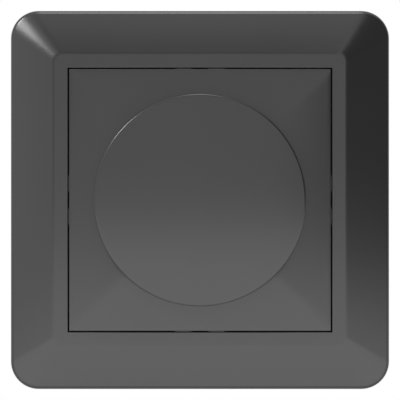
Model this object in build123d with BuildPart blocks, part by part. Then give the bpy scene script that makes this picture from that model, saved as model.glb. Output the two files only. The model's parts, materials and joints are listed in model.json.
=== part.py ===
from build123d import *
from math import atan, cos, pi, radians, sin, tan
import os

os.makedirs("parts", exist_ok=True)

# A rotary light dimmer for a flush wall box. All sizes are in millimetres.
# X points right and Z up. The wall's surface is the plane Y = 0 and the room lies at negative Y.
# A height counts from the wall's surface towards the room, and a depth from it into the wall box.

# Clearances
moulding_gap = 0.3          # between mouldings that are pushed together
slide_gap = 0.2             # round a release pusher in its slot
shaft_gap = 0.05            # round a shaft or pin that turns in its bore
pin_gap = 0.02              # round a pin that is fixed in its ears
screw_gap = 0.1             # round a screw or rivet that passes through a plate

# Cover frame
frame_corner_radius = 5.9
frame_height = 9.2
frame_wall = 1.8
frame_edge_radius = 0.6
bevel_start_height = 5.8
bevel_width = 9.1
rim_width = 3.05
rim_corner_radius = 2.1
opening_side = 55.7
collar_wall = 1.5
collar_bottom_height = 4.0
tab_length = 3.4
tab_spacing = 7.0
tab_setback = 2.2
tab_depth = 2.4
tab_gap = 0.05
frame_rib_width = 1.0
frame_rib_spacing = 36.0
frame_rib_bottom_height = 1.8
moulded_edge_radius = 0.15

# Centre plate
plate_crown = 1.0
plate_skirt_wall = 1.4
plate_roof = 1.6
flange_overlap = 1.35
well_wall = 1.4
well_floor = 1.6

# Dial
dial_radius = 22.2
dial_overhang = 0.3         # of the dial's rim over the well's edge
dial_rim_height = 5.1
dial_lift = 1.7
dial_dome = 0.7
dial_roof = 1.8
dial_skirt_wall = 1.4
dial_skirt_depth = 4.3
dial_edge_radius = 0.25
dial_press_travel = 0.8
dial_rib_count = 8
dial_rib_width = 1.0
dial_rib_height = 2.4
hub_radius = 5.0
hub_depth = 4.7
hub_slot_width = 1.2

# Dial clip
clip_thickness = 0.6
clip_height = 3.0
clip_mouth_degrees = 50.0

# Potentiometer
shaft_radius = 3.0
shaft_flat = 1.5            # from the shaft's axis to its flat
shaft_end_gap = 0.8         # between the shaft's front end and the dial's roof
bushing_radius = 5.0
case_width = 12.0
case_height = 13.0
case_roof = 1.6
rotor_chamber_radius = 5.2
wiper_thickness = 1.6
case_back_thickness = 1.0
shaft_tail = 2.8            # depth of the shaft's inner end
plunger_head_radius = 2.5
plunger_head = 1.0
plunger_stem_radius = 1.2
plunger_stem_length = 5.1
push_switch_side = 8.0
push_switch_depth = 5.5

# Nut and washer
nut_across_flats = 13.0
nut_thickness = 2.4
washer_radius = 8.0
washer_thickness = 0.6

# Support ring
ring_margin = 2.7           # between the ring's edge and the cover frame's wall
ring_corner_radius = 5.0
ring_thickness = 1.2
box_screw_spacing = 60.0
box_slot_radius = 2.1
box_slot_length = 7.0
ring_notch_radius = 1.6
ring_window_length = 7.0
ring_window_width = 3.0
ring_window_inset = 6.5
rivet_radius = 1.25
rivet_head_radius = 2.2
rivet_head = 0.7
rivet_bore_radius = 0.7

# Insert: front cover and housing
insert_width = 36.0
insert_height = 49.0
insert_corner_cut = 5.5
insert_wall = 1.5
insert_depth = 22.0
insert_edge_radius = 0.8
cover_flange = 1.6
boss_side = 24.0
boss_wall = 1.6
boss_height = 3.0
boss_roof = 1.8
boss_corner_radius = 1.5
hook_width = 8.0
hook_length = 5.0
hook_thickness = 1.2
hook_barb = 1.3
hook_barb_length = 1.8
vent_count = 7
vent_width = 1.4
vent_pitch = 3.6
vent_length = 9.0
vent_inset = 12.0
side_vent_count = 5
side_vent_length = 8.0
ledge_width = 3.0
ledge_depth = 1.2
ledge_place = 8.0

# Circuit board and what stands on it
board_depth = 5.3           # depth of the board's front side
board_thickness = 1.6
board_gap = 0.3
spreader_width = 22.0
spreader_height = 8.6
spreader_thickness = 1.0
spreader_inset = 6.4
transistor_side = 8.0
transistor_spacing = 12.0
choke_ring_radius = 5.4
choke_tube_radius = 2.5
choke_turns = 20
choke_inset = 0.5
film_capacitor_size = (12.0, 7.0, 11.0)
film_capacitor_inset = (8.3, 6.2)
bulk_capacitor_radius = 4.0
component_rear_gap = 1.4     # between the tall parts' ends and the housing's rear wall
bulk_capacitor_inset = (6.0, 16.2)
fuse_radius = 4.2
fuse_length = 8.0
fuse_inset = 1.7
fuse_drop = 2.0
varistor_radius = 4.4
varistor_thickness = 3.2
varistor_lead = 1.0
varistor_inset = 1.5
varistor_drop = 4.6
chip_side = 7.0
chip_thickness = 1.0
chip_side_step = 4.5
chip_inset = 6.5

# Minimum-brightness trimmer
trimmer_side_step = 8.5
trimmer_inset = 5.5
trimmer_side = 5.6
trimmer_depth = 3.4
trimmer_rotor_radius = 2.2
trimmer_rotor_thickness = 1.3
trimmer_stem_radius = 1.1
trimmer_stem_length = 2.0
trimmer_window_radius = 2.6
trimmer_slot_width = 0.6
trimmer_slot_depth = 0.6

# Terminals
terminal_names = ("line", "load", "extension")
terminal_width = 7.4
terminal_height = 10.5
terminal_inset = 2.25
terminal_proud = 1.0
terminal_window_gap = 0.2
wire_entry_radius = 1.5
wire_entry_length = 10.5
wire_entry_place = -2.5     # below the block's middle
wire_funnel = 0.5
pusher_side = 3.0
pusher_place = 2.4          # above the block's middle
pusher_length = 7.0
pusher_proud = 1.5
pusher_travel = 1.2
pusher_grip_width = 0.6

# Claws
claw_offset = 8.6           # left claw above, right claw below the middle
claw_stand_off = 1.7        # from the housing's side to the claw's hinge pin
claw_pivot_depth = 3.6
claw_lever = 3.0            # from the hinge pin to the screw
claw_width = 6.4
claw_sheet = 1.2
claw_prong_width = 1.5
claw_arm_reach = 5.1        # from the hinge pin to the arm's inner face
claw_length = 19.0
claw_tooth = 1.0
claw_tooth_length = 1.6
claw_eye_radius = 1.35
claw_pin_radius = 0.8
claw_pin_head_radius = 1.15
claw_pin_head = 0.5
claw_side_gap = 0.15
ear_radius = 1.3
claw_screw_radius = 1.25
claw_screw_length = 14.0
claw_screw_head_radius = 2.4
claw_screw_head = 1.5
claw_nut_radius = 1.9

# Sizes that follow from the ones above
rim_side = opening_side + 2 * rim_width
frame_side = rim_side + 2 * bevel_width
hollow_side = frame_side - 2 * frame_wall
ring_side = hollow_side - 2 * ring_margin
well_radius = dial_radius - dial_overhang
flange_thickness = collar_bottom_height - boss_height
plate_side = opening_side - 2 * moulding_gap
plate_half = plate_side / 2
flange_side = plate_side + 2 * moulding_gap + 2 * flange_overlap
floor_top_height = boss_height + well_floor
plate_roof_height = frame_height - plate_roof
nut_bottom_height = floor_top_height + washer_thickness
nut_top_height = nut_bottom_height + nut_thickness
dial_under_height = frame_height + dial_lift
dial_top_height = dial_under_height + dial_rim_height
dial_ceiling_height = dial_top_height - dial_roof
dial_skirt_radius = well_radius - moulding_gap
dial_skirt_inner = dial_skirt_radius - dial_skirt_wall
hub_bottom_height = dial_ceiling_height - hub_depth
bushing_top_height = hub_bottom_height - dial_press_travel - moulding_gap
shaft_top_height = dial_ceiling_height - shaft_end_gap
bushing_hole_radius = bushing_radius + screw_gap
shaft_bore_radius = shaft_radius + shaft_gap
boss_ceiling_height = boss_height - boss_roof
board_back_depth = board_depth + board_thickness
rear_wall_depth = insert_depth - insert_wall
bulk_capacitor_length = rear_wall_depth - board_back_depth - component_rear_gap
inside_width = insert_width - 2 * insert_wall
inside_right = inside_width / 2
inside_top = insert_height / 2 - insert_wall
inside_bottom = -inside_top
rivet_spacing = (boss_side + inside_width) / 2
spreader_place = inside_top - spreader_inset
choke_outer_radius = choke_ring_radius + choke_tube_radius + choke_tube_radius / 5
choke_place = (choke_inset + choke_outer_radius - inside_right, inside_top - choke_inset - choke_outer_radius)
film_capacitor_place = (inside_right - film_capacitor_inset[0], inside_top - film_capacitor_inset[1])
bulk_capacitor_place = (inside_right - bulk_capacitor_inset[0], inside_top - bulk_capacitor_inset[1])
fuse_place = (fuse_inset + fuse_radius - inside_right, -fuse_drop)
varistor_place = (inside_right - varistor_inset - varistor_radius, -varistor_drop)
chip_place = (-chip_side_step, inside_bottom + chip_inset)
trimmer_place = (trimmer_side_step, inside_bottom + trimmer_inset)
terminal_centre = inside_bottom + terminal_inset + terminal_height / 2
terminal_pitch = terminal_width + slide_gap
rivet_hole_radius = rivet_radius + screw_gap
claw_eye_bore = claw_pin_radius + shaft_gap
claw_pivot_place = insert_width / 2 + claw_stand_off
claw_screw_place = claw_pivot_place + claw_lever
claw_arm_place = claw_pivot_place + claw_arm_reach
ear_offset = claw_width / 2 + claw_side_gap


def facing_room(height):
    """The plane parallel to the wall at this height, seen from the room."""
    return Plane.XZ.offset(height)


def behind_wall(depth):
    """The plane parallel to the wall at this depth in the wall box, seen from the room."""
    return Plane.XZ.offset(-depth)


# The insert's outline in front view: its cut corners keep clear of the round wall box
with BuildSketch() as insert_outline:
    Rectangle(insert_width, insert_height)
    chamfer(insert_outline.vertices(), insert_corner_cut)


# Cover frame. Its sloped band is a loft from the outer outline to the flat rim, and the hollow
# behind it is the same form moved in by the wall. A collar hangs from the rim round the opening.
bevel_slope = atan((frame_height - bevel_start_height) / ((frame_side - rim_side) / 2))
hollow_shoulder = bevel_start_height + frame_wall * tan(bevel_slope) - frame_wall / cos(bevel_slope)
hollow_ceiling = frame_height - frame_wall
hollow_top_side = hollow_side - 2 * (hollow_ceiling - hollow_shoulder) / tan(bevel_slope)
collar_side = opening_side + 2 * collar_wall
tab_reach = moulding_gap - tab_gap
tab_root = collar_wall / 2

with BuildPart() as frame_rib:
    with BuildSketch(Plane.XY):
        with BuildLine():
            Polyline(
                (collar_side / 2 - tab_root, -collar_bottom_height - frame_rib_width / 2),
                (hollow_side / 2 + frame_wall / 2, -frame_rib_bottom_height),
                (hollow_side / 2 + frame_wall / 2, -hollow_shoulder - frame_wall * sin(bevel_slope) / 2),
                (hollow_top_side / 2, -hollow_ceiling - frame_wall / 2),
                (collar_side / 2 - tab_root, -hollow_ceiling - frame_wall / 2),
                close=True,
            )
        make_face()
    extrude(amount=frame_rib_width / 2, both=True)

with BuildPart() as cover_frame:
    with BuildSketch(facing_room(0)):
        RectangleRounded(frame_side, frame_side, frame_corner_radius)
    extrude(amount=bevel_start_height)
    with BuildSketch(facing_room(bevel_start_height)):
        RectangleRounded(frame_side, frame_side, frame_corner_radius)
    with BuildSketch(facing_room(frame_height)):
        RectangleRounded(rim_side, rim_side, rim_corner_radius)
    loft(ruled=True)
    shoulder_edges = cover_frame.edges().filter_by(lambda e: abs(e.center().Y + bevel_start_height) < 0.01)
    fillet(shoulder_edges, frame_edge_radius)
    with BuildSketch(facing_room(0)):
        RectangleRounded(hollow_side, hollow_side, frame_corner_radius - frame_wall)
    extrude(amount=hollow_shoulder, mode=Mode.SUBTRACT)
    with BuildSketch(facing_room(hollow_shoulder)):
        RectangleRounded(hollow_side, hollow_side, frame_corner_radius - frame_wall)
    with BuildSketch(facing_room(hollow_ceiling)):
        RectangleRounded(hollow_top_side, hollow_top_side, rim_corner_radius / 2)
    loft(ruled=True, mode=Mode.SUBTRACT)
    with BuildSketch(facing_room(collar_bottom_height)):
        Rectangle(collar_side, collar_side)
    extrude(amount=hollow_ceiling - collar_bottom_height)
    for quarter in range(4):
        for place in (-frame_rib_spacing / 2, frame_rib_spacing / 2):
            add(frame_rib.part.moved(Location((0, 0, place))).rotate(Axis.Y, 90 * quarter))
    with BuildSketch(facing_room(0)):
        Rectangle(opening_side, opening_side)
    extrude(amount=frame_height, mode=Mode.SUBTRACT)
    mouth_edges = (
        cover_frame.edges()
        .filter_by(lambda e: abs(e.center().Y + frame_height) < 0.01)
        .sort_by(lambda e: abs(e.center().X) + abs(e.center().Z))[:4]
    )
    fillet(mouth_edges, moulded_edge_radius)
    with BuildSketch(facing_room(frame_height - tab_setback - tab_depth)):
        with PolarLocations(opening_side / 2 - (tab_reach - tab_root) / 2, 4):
            with Locations((0, tab_spacing / 2), (0, -tab_spacing / 2)):
                Rectangle(tab_reach + tab_root, tab_length)
    extrude(amount=tab_depth)
cover_frame.part.label = "cover_frame"
export_step(cover_frame.part, "parts/cover_frame.step")

# Centre plate. Two arched profiles that cross give the vaulted face with its soft diagonal creases.
skirt_inner_side = plate_side - 2 * plate_skirt_wall
well_outer_radius = well_radius + well_wall

with BuildPart() as centre_plate:
    with BuildSketch(Plane.XY):
        with BuildLine():
            Polyline(
                (plate_half, -frame_height),
                (plate_half, -boss_height),
                (-plate_half, -boss_height),
                (-plate_half, -frame_height),
            )
            ThreePointArc(
                (-plate_half, -frame_height),
                (0, -frame_height - plate_crown),
                (plate_half, -frame_height),
            )
        make_face()
    extrude(amount=plate_half, both=True)
    with BuildSketch(Plane.YZ):
        with BuildLine():
            Polyline(
                (-frame_height, plate_half),
                (-boss_height, plate_half),
                (-boss_height, -plate_half),
                (-frame_height, -plate_half),
            )
            ThreePointArc(
                (-frame_height, -plate_half),
                (-frame_height - plate_crown, 0),
                (-frame_height, plate_half),
            )
        make_face()
    extrude(amount=plate_half, both=True, mode=Mode.INTERSECT)
    rim_edges = centre_plate.edges().filter_by(
        lambda e: abs(e.center().Y + frame_height) < 0.01 and e.length > plate_half
    )
    fillet(rim_edges, moulded_edge_radius)
    with BuildSketch(facing_room(boss_height)):
        Rectangle(skirt_inner_side, skirt_inner_side)
        Circle(well_outer_radius, mode=Mode.SUBTRACT)
    extrude(amount=plate_roof_height - boss_height, mode=Mode.SUBTRACT)
    with BuildSketch(facing_room(boss_height)):
        Rectangle(flange_side, flange_side)
        Rectangle(skirt_inner_side, skirt_inner_side, mode=Mode.SUBTRACT)
    extrude(amount=flange_thickness)
    with BuildSketch(facing_room(floor_top_height)):
        Circle(well_radius)
    extrude(amount=frame_height + plate_crown - floor_top_height, mode=Mode.SUBTRACT)
    with BuildSketch(facing_room(boss_height)):
        Circle(bushing_hole_radius)
    extrude(amount=well_floor, mode=Mode.SUBTRACT)
centre_plate.part.label = "centre_plate"
export_step(centre_plate.part, "parts/centre_plate.step")

# Dial. A turned cap with a skirt that dips into the well, a hub that takes the flatted shaft,
# and ribs under its roof.
with BuildPart() as dial:
    with BuildSketch(Plane.XY):
        with BuildLine():
            ThreePointArc(
                (0, -dial_top_height - dial_dome),
                (dial_radius / 2, -dial_top_height - 0.75 * dial_dome),
                (dial_radius, -dial_top_height),
            )
            Polyline(
                (dial_radius, -dial_top_height),
                (dial_radius, -dial_under_height),
                (dial_skirt_radius, -dial_under_height),
                (dial_skirt_radius, -dial_under_height + dial_skirt_depth),
                (dial_skirt_inner, -dial_under_height + dial_skirt_depth),
                (dial_skirt_inner, -dial_ceiling_height),
                (0, -dial_ceiling_height),
                (0, -dial_top_height - dial_dome),
            )
        make_face()
    revolve(axis=Axis.Y)
    rim_circles = dial.edges().filter_by(lambda e: abs(e.length - 2 * pi * dial_radius) < 0.01)
    fillet(rim_circles.sort_by(Axis.Y)[0], dial_edge_radius)
    with BuildSketch(facing_room(hub_bottom_height)):
        Circle(hub_radius)
    extrude(amount=hub_depth)
    with BuildSketch(facing_room(dial_ceiling_height - dial_rib_height)):
        rib_inner = hub_radius + clip_thickness + 2 * moulding_gap
        rib_outer = dial_skirt_inner + dial_skirt_wall / 2
        with PolarLocations((rib_inner + rib_outer) / 2, dial_rib_count):
            Rectangle(rib_outer - rib_inner, dial_rib_width)
    extrude(amount=dial_rib_height)
    with BuildSketch(facing_room(hub_bottom_height)):
        Circle(shaft_bore_radius)
        with Locations((0, shaft_flat + shaft_gap + shaft_radius)):
            Rectangle(2 * hub_radius, 2 * shaft_radius, mode=Mode.SUBTRACT)
    extrude(amount=hub_depth, mode=Mode.SUBTRACT)
    with BuildSketch(facing_room(hub_bottom_height)):
        with Locations((0, -hub_radius / 2 - shaft_radius / 2)):
            Rectangle(hub_slot_width, hub_radius)
    extrude(amount=hub_depth - shaft_end_gap, mode=Mode.SUBTRACT)
dial.part.label = "dial"
export_step(dial.part, "parts/dial.step")

# Dial clip: an open spring ring round the slotted hub
clip_inner = hub_radius + shaft_gap
with BuildPart() as dial_clip:
    with BuildSketch(facing_room(hub_bottom_height + shaft_end_gap)):
        Circle(clip_inner + clip_thickness)
        Circle(clip_inner, mode=Mode.SUBTRACT)
        mouth_half = 2 * hub_radius * tan(radians(clip_mouth_degrees / 2))
        with BuildLine(mode=Mode.ADD):
            Polyline((0, 0), (-mouth_half, -2 * hub_radius), (mouth_half, -2 * hub_radius), close=True)
        make_face(mode=Mode.SUBTRACT)
    extrude(amount=clip_height)
dial_clip.part.label = "dial_clip"
export_step(dial_clip.part, "parts/dial_clip.step")

# Washer and nut that hold the centre plate on the bushing
with BuildPart() as bushing_washer:
    with BuildSketch(facing_room(floor_top_height)):
        Circle(washer_radius)
        Circle(bushing_hole_radius, mode=Mode.SUBTRACT)
    extrude(amount=washer_thickness)
bushing_washer.part.label = "bushing_washer"
export_step(bushing_washer.part, "parts/bushing_washer.step")

with BuildPart() as bushing_nut:
    with BuildSketch(facing_room(nut_bottom_height)):
        RegularPolygon(nut_across_flats / 2, 6, major_radius=False)
    extrude(amount=nut_thickness)
    with BuildSketch(Plane.XY):
        with BuildLine():
            crown_radius = nut_across_flats / 2
            crown_drop = nut_thickness / 6
            Polyline(
                (crown_radius, -nut_top_height),
                (2 * crown_radius, -nut_top_height),
                (2 * crown_radius, -nut_top_height + crown_drop * 5),
                close=True,
            )
        make_face()
    revolve(axis=Axis.Y, mode=Mode.SUBTRACT)
    with BuildSketch(facing_room(nut_bottom_height)):
        Circle(bushing_radius + pin_gap)
    extrude(amount=nut_thickness, mode=Mode.SUBTRACT)
bushing_nut.part.label = "bushing_nut"
export_step(bushing_nut.part, "parts/bushing_nut.step")

# Potentiometer: case with its threaded bushing, back plate, wiper and flatted shaft
with BuildPart() as potentiometer_case:
    with BuildSketch(behind_wall(board_depth)):
        Rectangle(case_width, case_height)
    extrude(amount=board_depth + boss_ceiling_height)
    fillet(potentiometer_case.edges().filter_by(Axis.Y), frame_edge_radius)
    with BuildSketch(facing_room(boss_ceiling_height)):
        Circle(bushing_radius)
    extrude(amount=bushing_top_height - boss_ceiling_height)
    chamfer(potentiometer_case.edges().sort_by(Axis.Y)[0], screw_gap * 4)
    with BuildSketch(behind_wall(board_depth)):
        Circle(rotor_chamber_radius)
    extrude(amount=board_depth + boss_ceiling_height - case_roof, mode=Mode.SUBTRACT)
    with BuildSketch(facing_room(boss_ceiling_height - case_roof)):
        Circle(shaft_bore_radius)
    extrude(amount=bushing_top_height - boss_ceiling_height + case_roof, mode=Mode.SUBTRACT)
potentiometer_case.part.label = "potentiometer_case"
export_step(potentiometer_case.part, "parts/potentiometer_case.step")

with BuildPart() as potentiometer_back:
    with BuildSketch(behind_wall(board_depth)):
        Circle(rotor_chamber_radius - pin_gap)
        Circle(plunger_head_radius + moulding_gap, mode=Mode.SUBTRACT)
    extrude(amount=case_back_thickness)
potentiometer_back.part.label = "potentiometer_back"
export_step(potentiometer_back.part, "parts/potentiometer_back.step")

wiper_top_height = boss_ceiling_height - case_roof - moulding_gap
with BuildPart() as wiper_rotor:
    with BuildSketch(facing_room(wiper_top_height - wiper_thickness)):
        Circle(rotor_chamber_radius - moulding_gap)
        Circle(shaft_bore_radius, mode=Mode.SUBTRACT)
    extrude(amount=wiper_thickness)
    with BuildSketch(facing_room(wiper_top_height - wiper_thickness)):
        with Locations((0, shaft_flat + shaft_gap + shaft_radius)):
            Rectangle(2 * shaft_radius, 2 * shaft_radius)
        Circle(shaft_bore_radius + shaft_gap, mode=Mode.INTERSECT)
    extrude(amount=wiper_thickness)
wiper_rotor.part.label = "wiper_rotor"
export_step(wiper_rotor.part, "parts/wiper_rotor.step")

with BuildPart() as potentiometer_shaft:
    with BuildSketch(behind_wall(shaft_tail)):
        Circle(shaft_radius)
        with Locations((0, shaft_flat + shaft_radius)):
            Rectangle(2 * shaft_radius, 2 * shaft_radius, mode=Mode.SUBTRACT)
    extrude(amount=shaft_top_height + shaft_tail)
    chamfer(potentiometer_shaft.edges().group_by(Axis.Y)[0], screw_gap * 3)
potentiometer_shaft.part.label = "potentiometer_shaft"
export_step(potentiometer_shaft.part, "parts/potentiometer_shaft.step")

# Press mechanism: a plunger behind the shaft reaches through the board into the push switch
with BuildPart() as switch_plunger:
    with BuildSketch(behind_wall(shaft_tail)):
        Circle(plunger_head_radius)
    extrude(amount=-plunger_head)
    with BuildSketch(behind_wall(shaft_tail + plunger_head)):
        Circle(plunger_stem_radius)
    extrude(amount=-plunger_stem_length)
switch_plunger.part.label = "switch_plunger"
export_step(switch_plunger.part, "parts/switch_plunger.step")

stem_end_depth = shaft_tail + plunger_head + plunger_stem_length
with BuildPart() as push_switch:
    with BuildSketch(behind_wall(board_back_depth)):
        Rectangle(push_switch_side, push_switch_side)
    extrude(amount=-push_switch_depth)
    with BuildSketch(behind_wall(board_back_depth)):
        Circle(plunger_stem_radius + moulding_gap)
    extrude(amount=-(stem_end_depth + 2 * dial_press_travel - board_back_depth), mode=Mode.SUBTRACT)
    fillet(push_switch.edges().filter_by(Axis.Y).sort_by(lambda e: -abs(e.center().X))[:4], moulding_gap)
push_switch.part.label = "push_switch"
export_step(push_switch.part, "parts/push_switch.step")

# Support ring: a stamped plate with box-screw slots, windows for neighbouring frames' hooks,
# and two pairs of ears bent back to carry the claws
with BuildPart() as support_ring:
    with BuildSketch(facing_room(0)):
        RectangleRounded(ring_side, ring_side, ring_corner_radius)
        RectangleRounded(
            boss_side + 2 * moulding_gap,
            boss_side + 2 * moulding_gap,
            boss_corner_radius + moulding_gap,
            mode=Mode.SUBTRACT,
        )
        with Locations((-box_screw_spacing / 2, 0), (box_screw_spacing / 2, 0)):
            SlotOverall(box_slot_length, 2 * box_slot_radius, mode=Mode.SUBTRACT)
        with Locations((0, -box_screw_spacing / 2), (0, box_screw_spacing / 2)):
            SlotOverall(box_slot_length, 2 * box_slot_radius, rotation=90, mode=Mode.SUBTRACT)
        with PolarLocations(ring_side / 2, 4):
            Circle(ring_notch_radius, mode=Mode.SUBTRACT)
        with GridLocations(ring_side - 2 * ring_window_inset, ring_side - 2 * ring_corner_radius, 2, 2):
            Rectangle(ring_window_width, ring_window_length, mode=Mode.SUBTRACT)
        with GridLocations(rivet_spacing, rivet_spacing, 2, 2):
            Circle(rivet_hole_radius, mode=Mode.SUBTRACT)
        with Locations(trimmer_place):
            Circle(trimmer_window_radius + moulding_gap, mode=Mode.SUBTRACT)
        with Locations((-claw_screw_place, claw_offset), (claw_screw_place, -claw_offset)):
            Circle(claw_screw_radius + screw_gap, mode=Mode.SUBTRACT)
    extrude(amount=ring_thickness)
    for side in (-1, 1):
        for edge in (-1, 1):
            ear_inner = -side * claw_offset + edge * (ear_offset + (claw_sheet if edge < 0 else 0))
            with BuildSketch(Plane.XY.offset(ear_inner)):
                with Locations((side * claw_pivot_place, (claw_pivot_depth - ring_thickness / 2) / 2)):
                    Rectangle(2 * ear_radius, claw_pivot_depth + ring_thickness / 2)
                with Locations((side * claw_pivot_place, claw_pivot_depth)):
                    Circle(ear_radius)
                    Circle(claw_pin_radius + pin_gap, mode=Mode.SUBTRACT)
            extrude(amount=claw_sheet)
support_ring.part.label = "support_ring"
export_step(support_ring.part, "parts/support_ring.step")

# Four tubular rivets, heads on the ring and flared ends behind the insert cover
with BuildPart() as ring_rivets:
    with BuildSketch(behind_wall(cover_flange)):
        with GridLocations(rivet_spacing, rivet_spacing, 2, 2):
            Circle(rivet_radius)
    extrude(amount=cover_flange + ring_thickness)
    with BuildSketch(facing_room(ring_thickness)):
        with GridLocations(rivet_spacing, rivet_spacing, 2, 2):
            Circle(rivet_head_radius)
    extrude(amount=rivet_head)
    with BuildSketch(behind_wall(cover_flange)):
        with GridLocations(rivet_spacing, rivet_spacing, 2, 2):
            Circle(rivet_head_radius)
    extrude(amount=-rivet_head, taper=30)
    with BuildSketch(behind_wall(cover_flange + rivet_head)):
        with GridLocations(rivet_spacing, rivet_spacing, 2, 2):
            Circle(rivet_bore_radius)
    extrude(amount=cover_flange + ring_thickness + rivet_head, mode=Mode.SUBTRACT)
ring_rivets.part.label = "ring_rivets"
export_step(ring_rivets.part, "parts/ring_rivets.step")

# Insert cover: a flange behind the ring, a hollow boss through it, and a snap hook at top and bottom
hook_face = insert_height / 2 - insert_wall - moulding_gap
barb_depth = cover_flange + hook_length - hook_barb_length
with BuildPart() as insert_cover:
    with BuildSketch(behind_wall(cover_flange)):
        add(insert_outline.sketch)
    extrude(amount=cover_flange)
    with BuildSketch(facing_room(0)):
        RectangleRounded(boss_side, boss_side, boss_corner_radius)
    extrude(amount=boss_height)
    fillet(insert_cover.edges().group_by(Axis.Y)[0], screw_gap * 4)
    with BuildSketch(behind_wall(cover_flange)):
        RectangleRounded(boss_side - 2 * boss_wall, boss_side - 2 * boss_wall, boss_corner_radius / 2)
    extrude(amount=cover_flange + boss_ceiling_height, mode=Mode.SUBTRACT)
    with BuildSketch(facing_room(boss_ceiling_height)):
        Circle(bushing_hole_radius)
    extrude(amount=boss_roof, mode=Mode.SUBTRACT)
    with BuildSketch(behind_wall(cover_flange)):
        with GridLocations(rivet_spacing, rivet_spacing, 2, 2):
            Circle(rivet_hole_radius)
        with Locations(trimmer_place):
            Circle(trimmer_window_radius)
    extrude(amount=cover_flange, mode=Mode.SUBTRACT)
    for up in (-1, 1):
        with BuildSketch(Plane.YZ):
            with BuildLine():
                Polyline(
                    (cover_flange / 2, up * hook_face),
                    (barb_depth, up * hook_face),
                    (barb_depth, up * (hook_face + hook_barb)),
                    (cover_flange + hook_length, up * hook_face),
                    (cover_flange + hook_length, up * (hook_face - hook_thickness)),
                    (cover_flange / 2, up * (hook_face - hook_thickness)),
                    close=True,
                )
            make_face()
        extrude(amount=hook_width / 2, both=True)
insert_cover.part.label = "insert_cover"
export_step(insert_cover.part, "parts/insert_cover.step")

# Insert housing: a pot with a terminal window and vents in its floor, vents and snap windows in its
# top and bottom walls, and ledges inside for the board
window_width = terminal_pitch * (len(terminal_names) - 1) + terminal_width + 2 * terminal_window_gap
window_height = terminal_height + 2 * terminal_window_gap
catch_front = barb_depth - moulding_gap
catch_length = hook_barb_length + 2 * moulding_gap
with BuildPart() as insert_housing:
    with BuildSketch(behind_wall(cover_flange)):
        add(insert_outline.sketch)
    extrude(amount=-(insert_depth - cover_flange))
    fillet(insert_housing.edges().group_by(Axis.Y)[-1], insert_edge_radius)
    with BuildSketch(behind_wall(cover_flange)):
        add(insert_outline.sketch)
        offset(amount=-insert_wall, kind=Kind.INTERSECTION, mode=Mode.REPLACE)
    extrude(amount=-(rear_wall_depth - cover_flange), mode=Mode.SUBTRACT)
    with BuildSketch(behind_wall(rear_wall_depth)):
        with GridLocations(inside_width - ledge_depth, 2 * ledge_place, 2, 2):
            Rectangle(ledge_depth, ledge_width)
    extrude(amount=rear_wall_depth - board_back_depth)
    with BuildSketch(behind_wall(insert_depth)):
        with Locations((0, terminal_centre)):
            Rectangle(window_width, window_height)
        with Locations((0, inside_top - vent_inset)):
            with GridLocations(vent_pitch, 0, vent_count, 1):
                SlotOverall(vent_length, vent_width, rotation=90)
    extrude(amount=insert_wall, mode=Mode.SUBTRACT)
    with BuildSketch(Plane.XY.offset(insert_height / 2 - insert_wall)):
        with Locations((0, (board_back_depth + rear_wall_depth) / 2)):
            with GridLocations(vent_pitch, 0, side_vent_count, 1):
                SlotOverall(side_vent_length, vent_width, rotation=90)
    extrude(amount=insert_wall, mode=Mode.SUBTRACT)
    with BuildSketch(Plane.XY.offset(-insert_height / 2)):
        with Locations((0, catch_front + catch_length / 2)):
            Rectangle(hook_width + 2 * moulding_gap, catch_length)
    extrude(amount=insert_height, mode=Mode.SUBTRACT)
insert_housing.part.label = "insert_housing"
export_step(insert_housing.part, "parts/insert_housing.step")

# Circuit board with the hole that the plunger's stem passes through and notches for the snap hooks
with BuildPart() as circuit_board:
    with BuildSketch(behind_wall(board_back_depth)):
        add(insert_outline.sketch)
        offset(amount=-insert_wall - board_gap, kind=Kind.INTERSECTION, mode=Mode.REPLACE)
        Circle(plunger_stem_radius + moulding_gap, mode=Mode.SUBTRACT)
        notch_depth = 2 * (hook_thickness + 2 * moulding_gap)
        with GridLocations(0, insert_height - 2 * insert_wall, 1, 2):
            Rectangle(hook_width + 2 * board_gap, notch_depth, mode=Mode.SUBTRACT)
    extrude(amount=board_thickness)
circuit_board.part.label = "circuit_board"
export_step(circuit_board.part, "parts/circuit_board.step")

# Heat spreader under the insert cover, with the two power transistors between it and the board
with BuildPart() as heat_spreader:
    with BuildSketch(behind_wall(cover_flange + spreader_thickness)):
        with Locations((0, spreader_place)):
            Rectangle(spreader_width, spreader_height)
    extrude(amount=spreader_thickness)
heat_spreader.part.label = "heat_spreader"
export_step(heat_spreader.part, "parts/heat_spreader.step")

with BuildPart() as power_transistors:
    with BuildSketch(behind_wall(board_depth)):
        with Locations((0, spreader_place)):
            with GridLocations(transistor_spacing, 0, 2, 1):
                Rectangle(transistor_side, transistor_side)
    extrude(amount=board_depth - cover_flange - spreader_thickness)
power_transistors.part.label = "power_transistors"
export_step(power_transistors.part, "parts/power_transistors.step")

with BuildPart() as controller_chip:
    with BuildSketch(behind_wall(board_depth)):
        with Locations(chip_place):
            Rectangle(chip_side, chip_side)
    extrude(amount=chip_thickness)
    chamfer(controller_chip.edges().group_by(Axis.Y)[0], moulding_gap / 2)
controller_chip.part.label = "controller_chip"
export_step(controller_chip.part, "parts/controller_chip.step")

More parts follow.
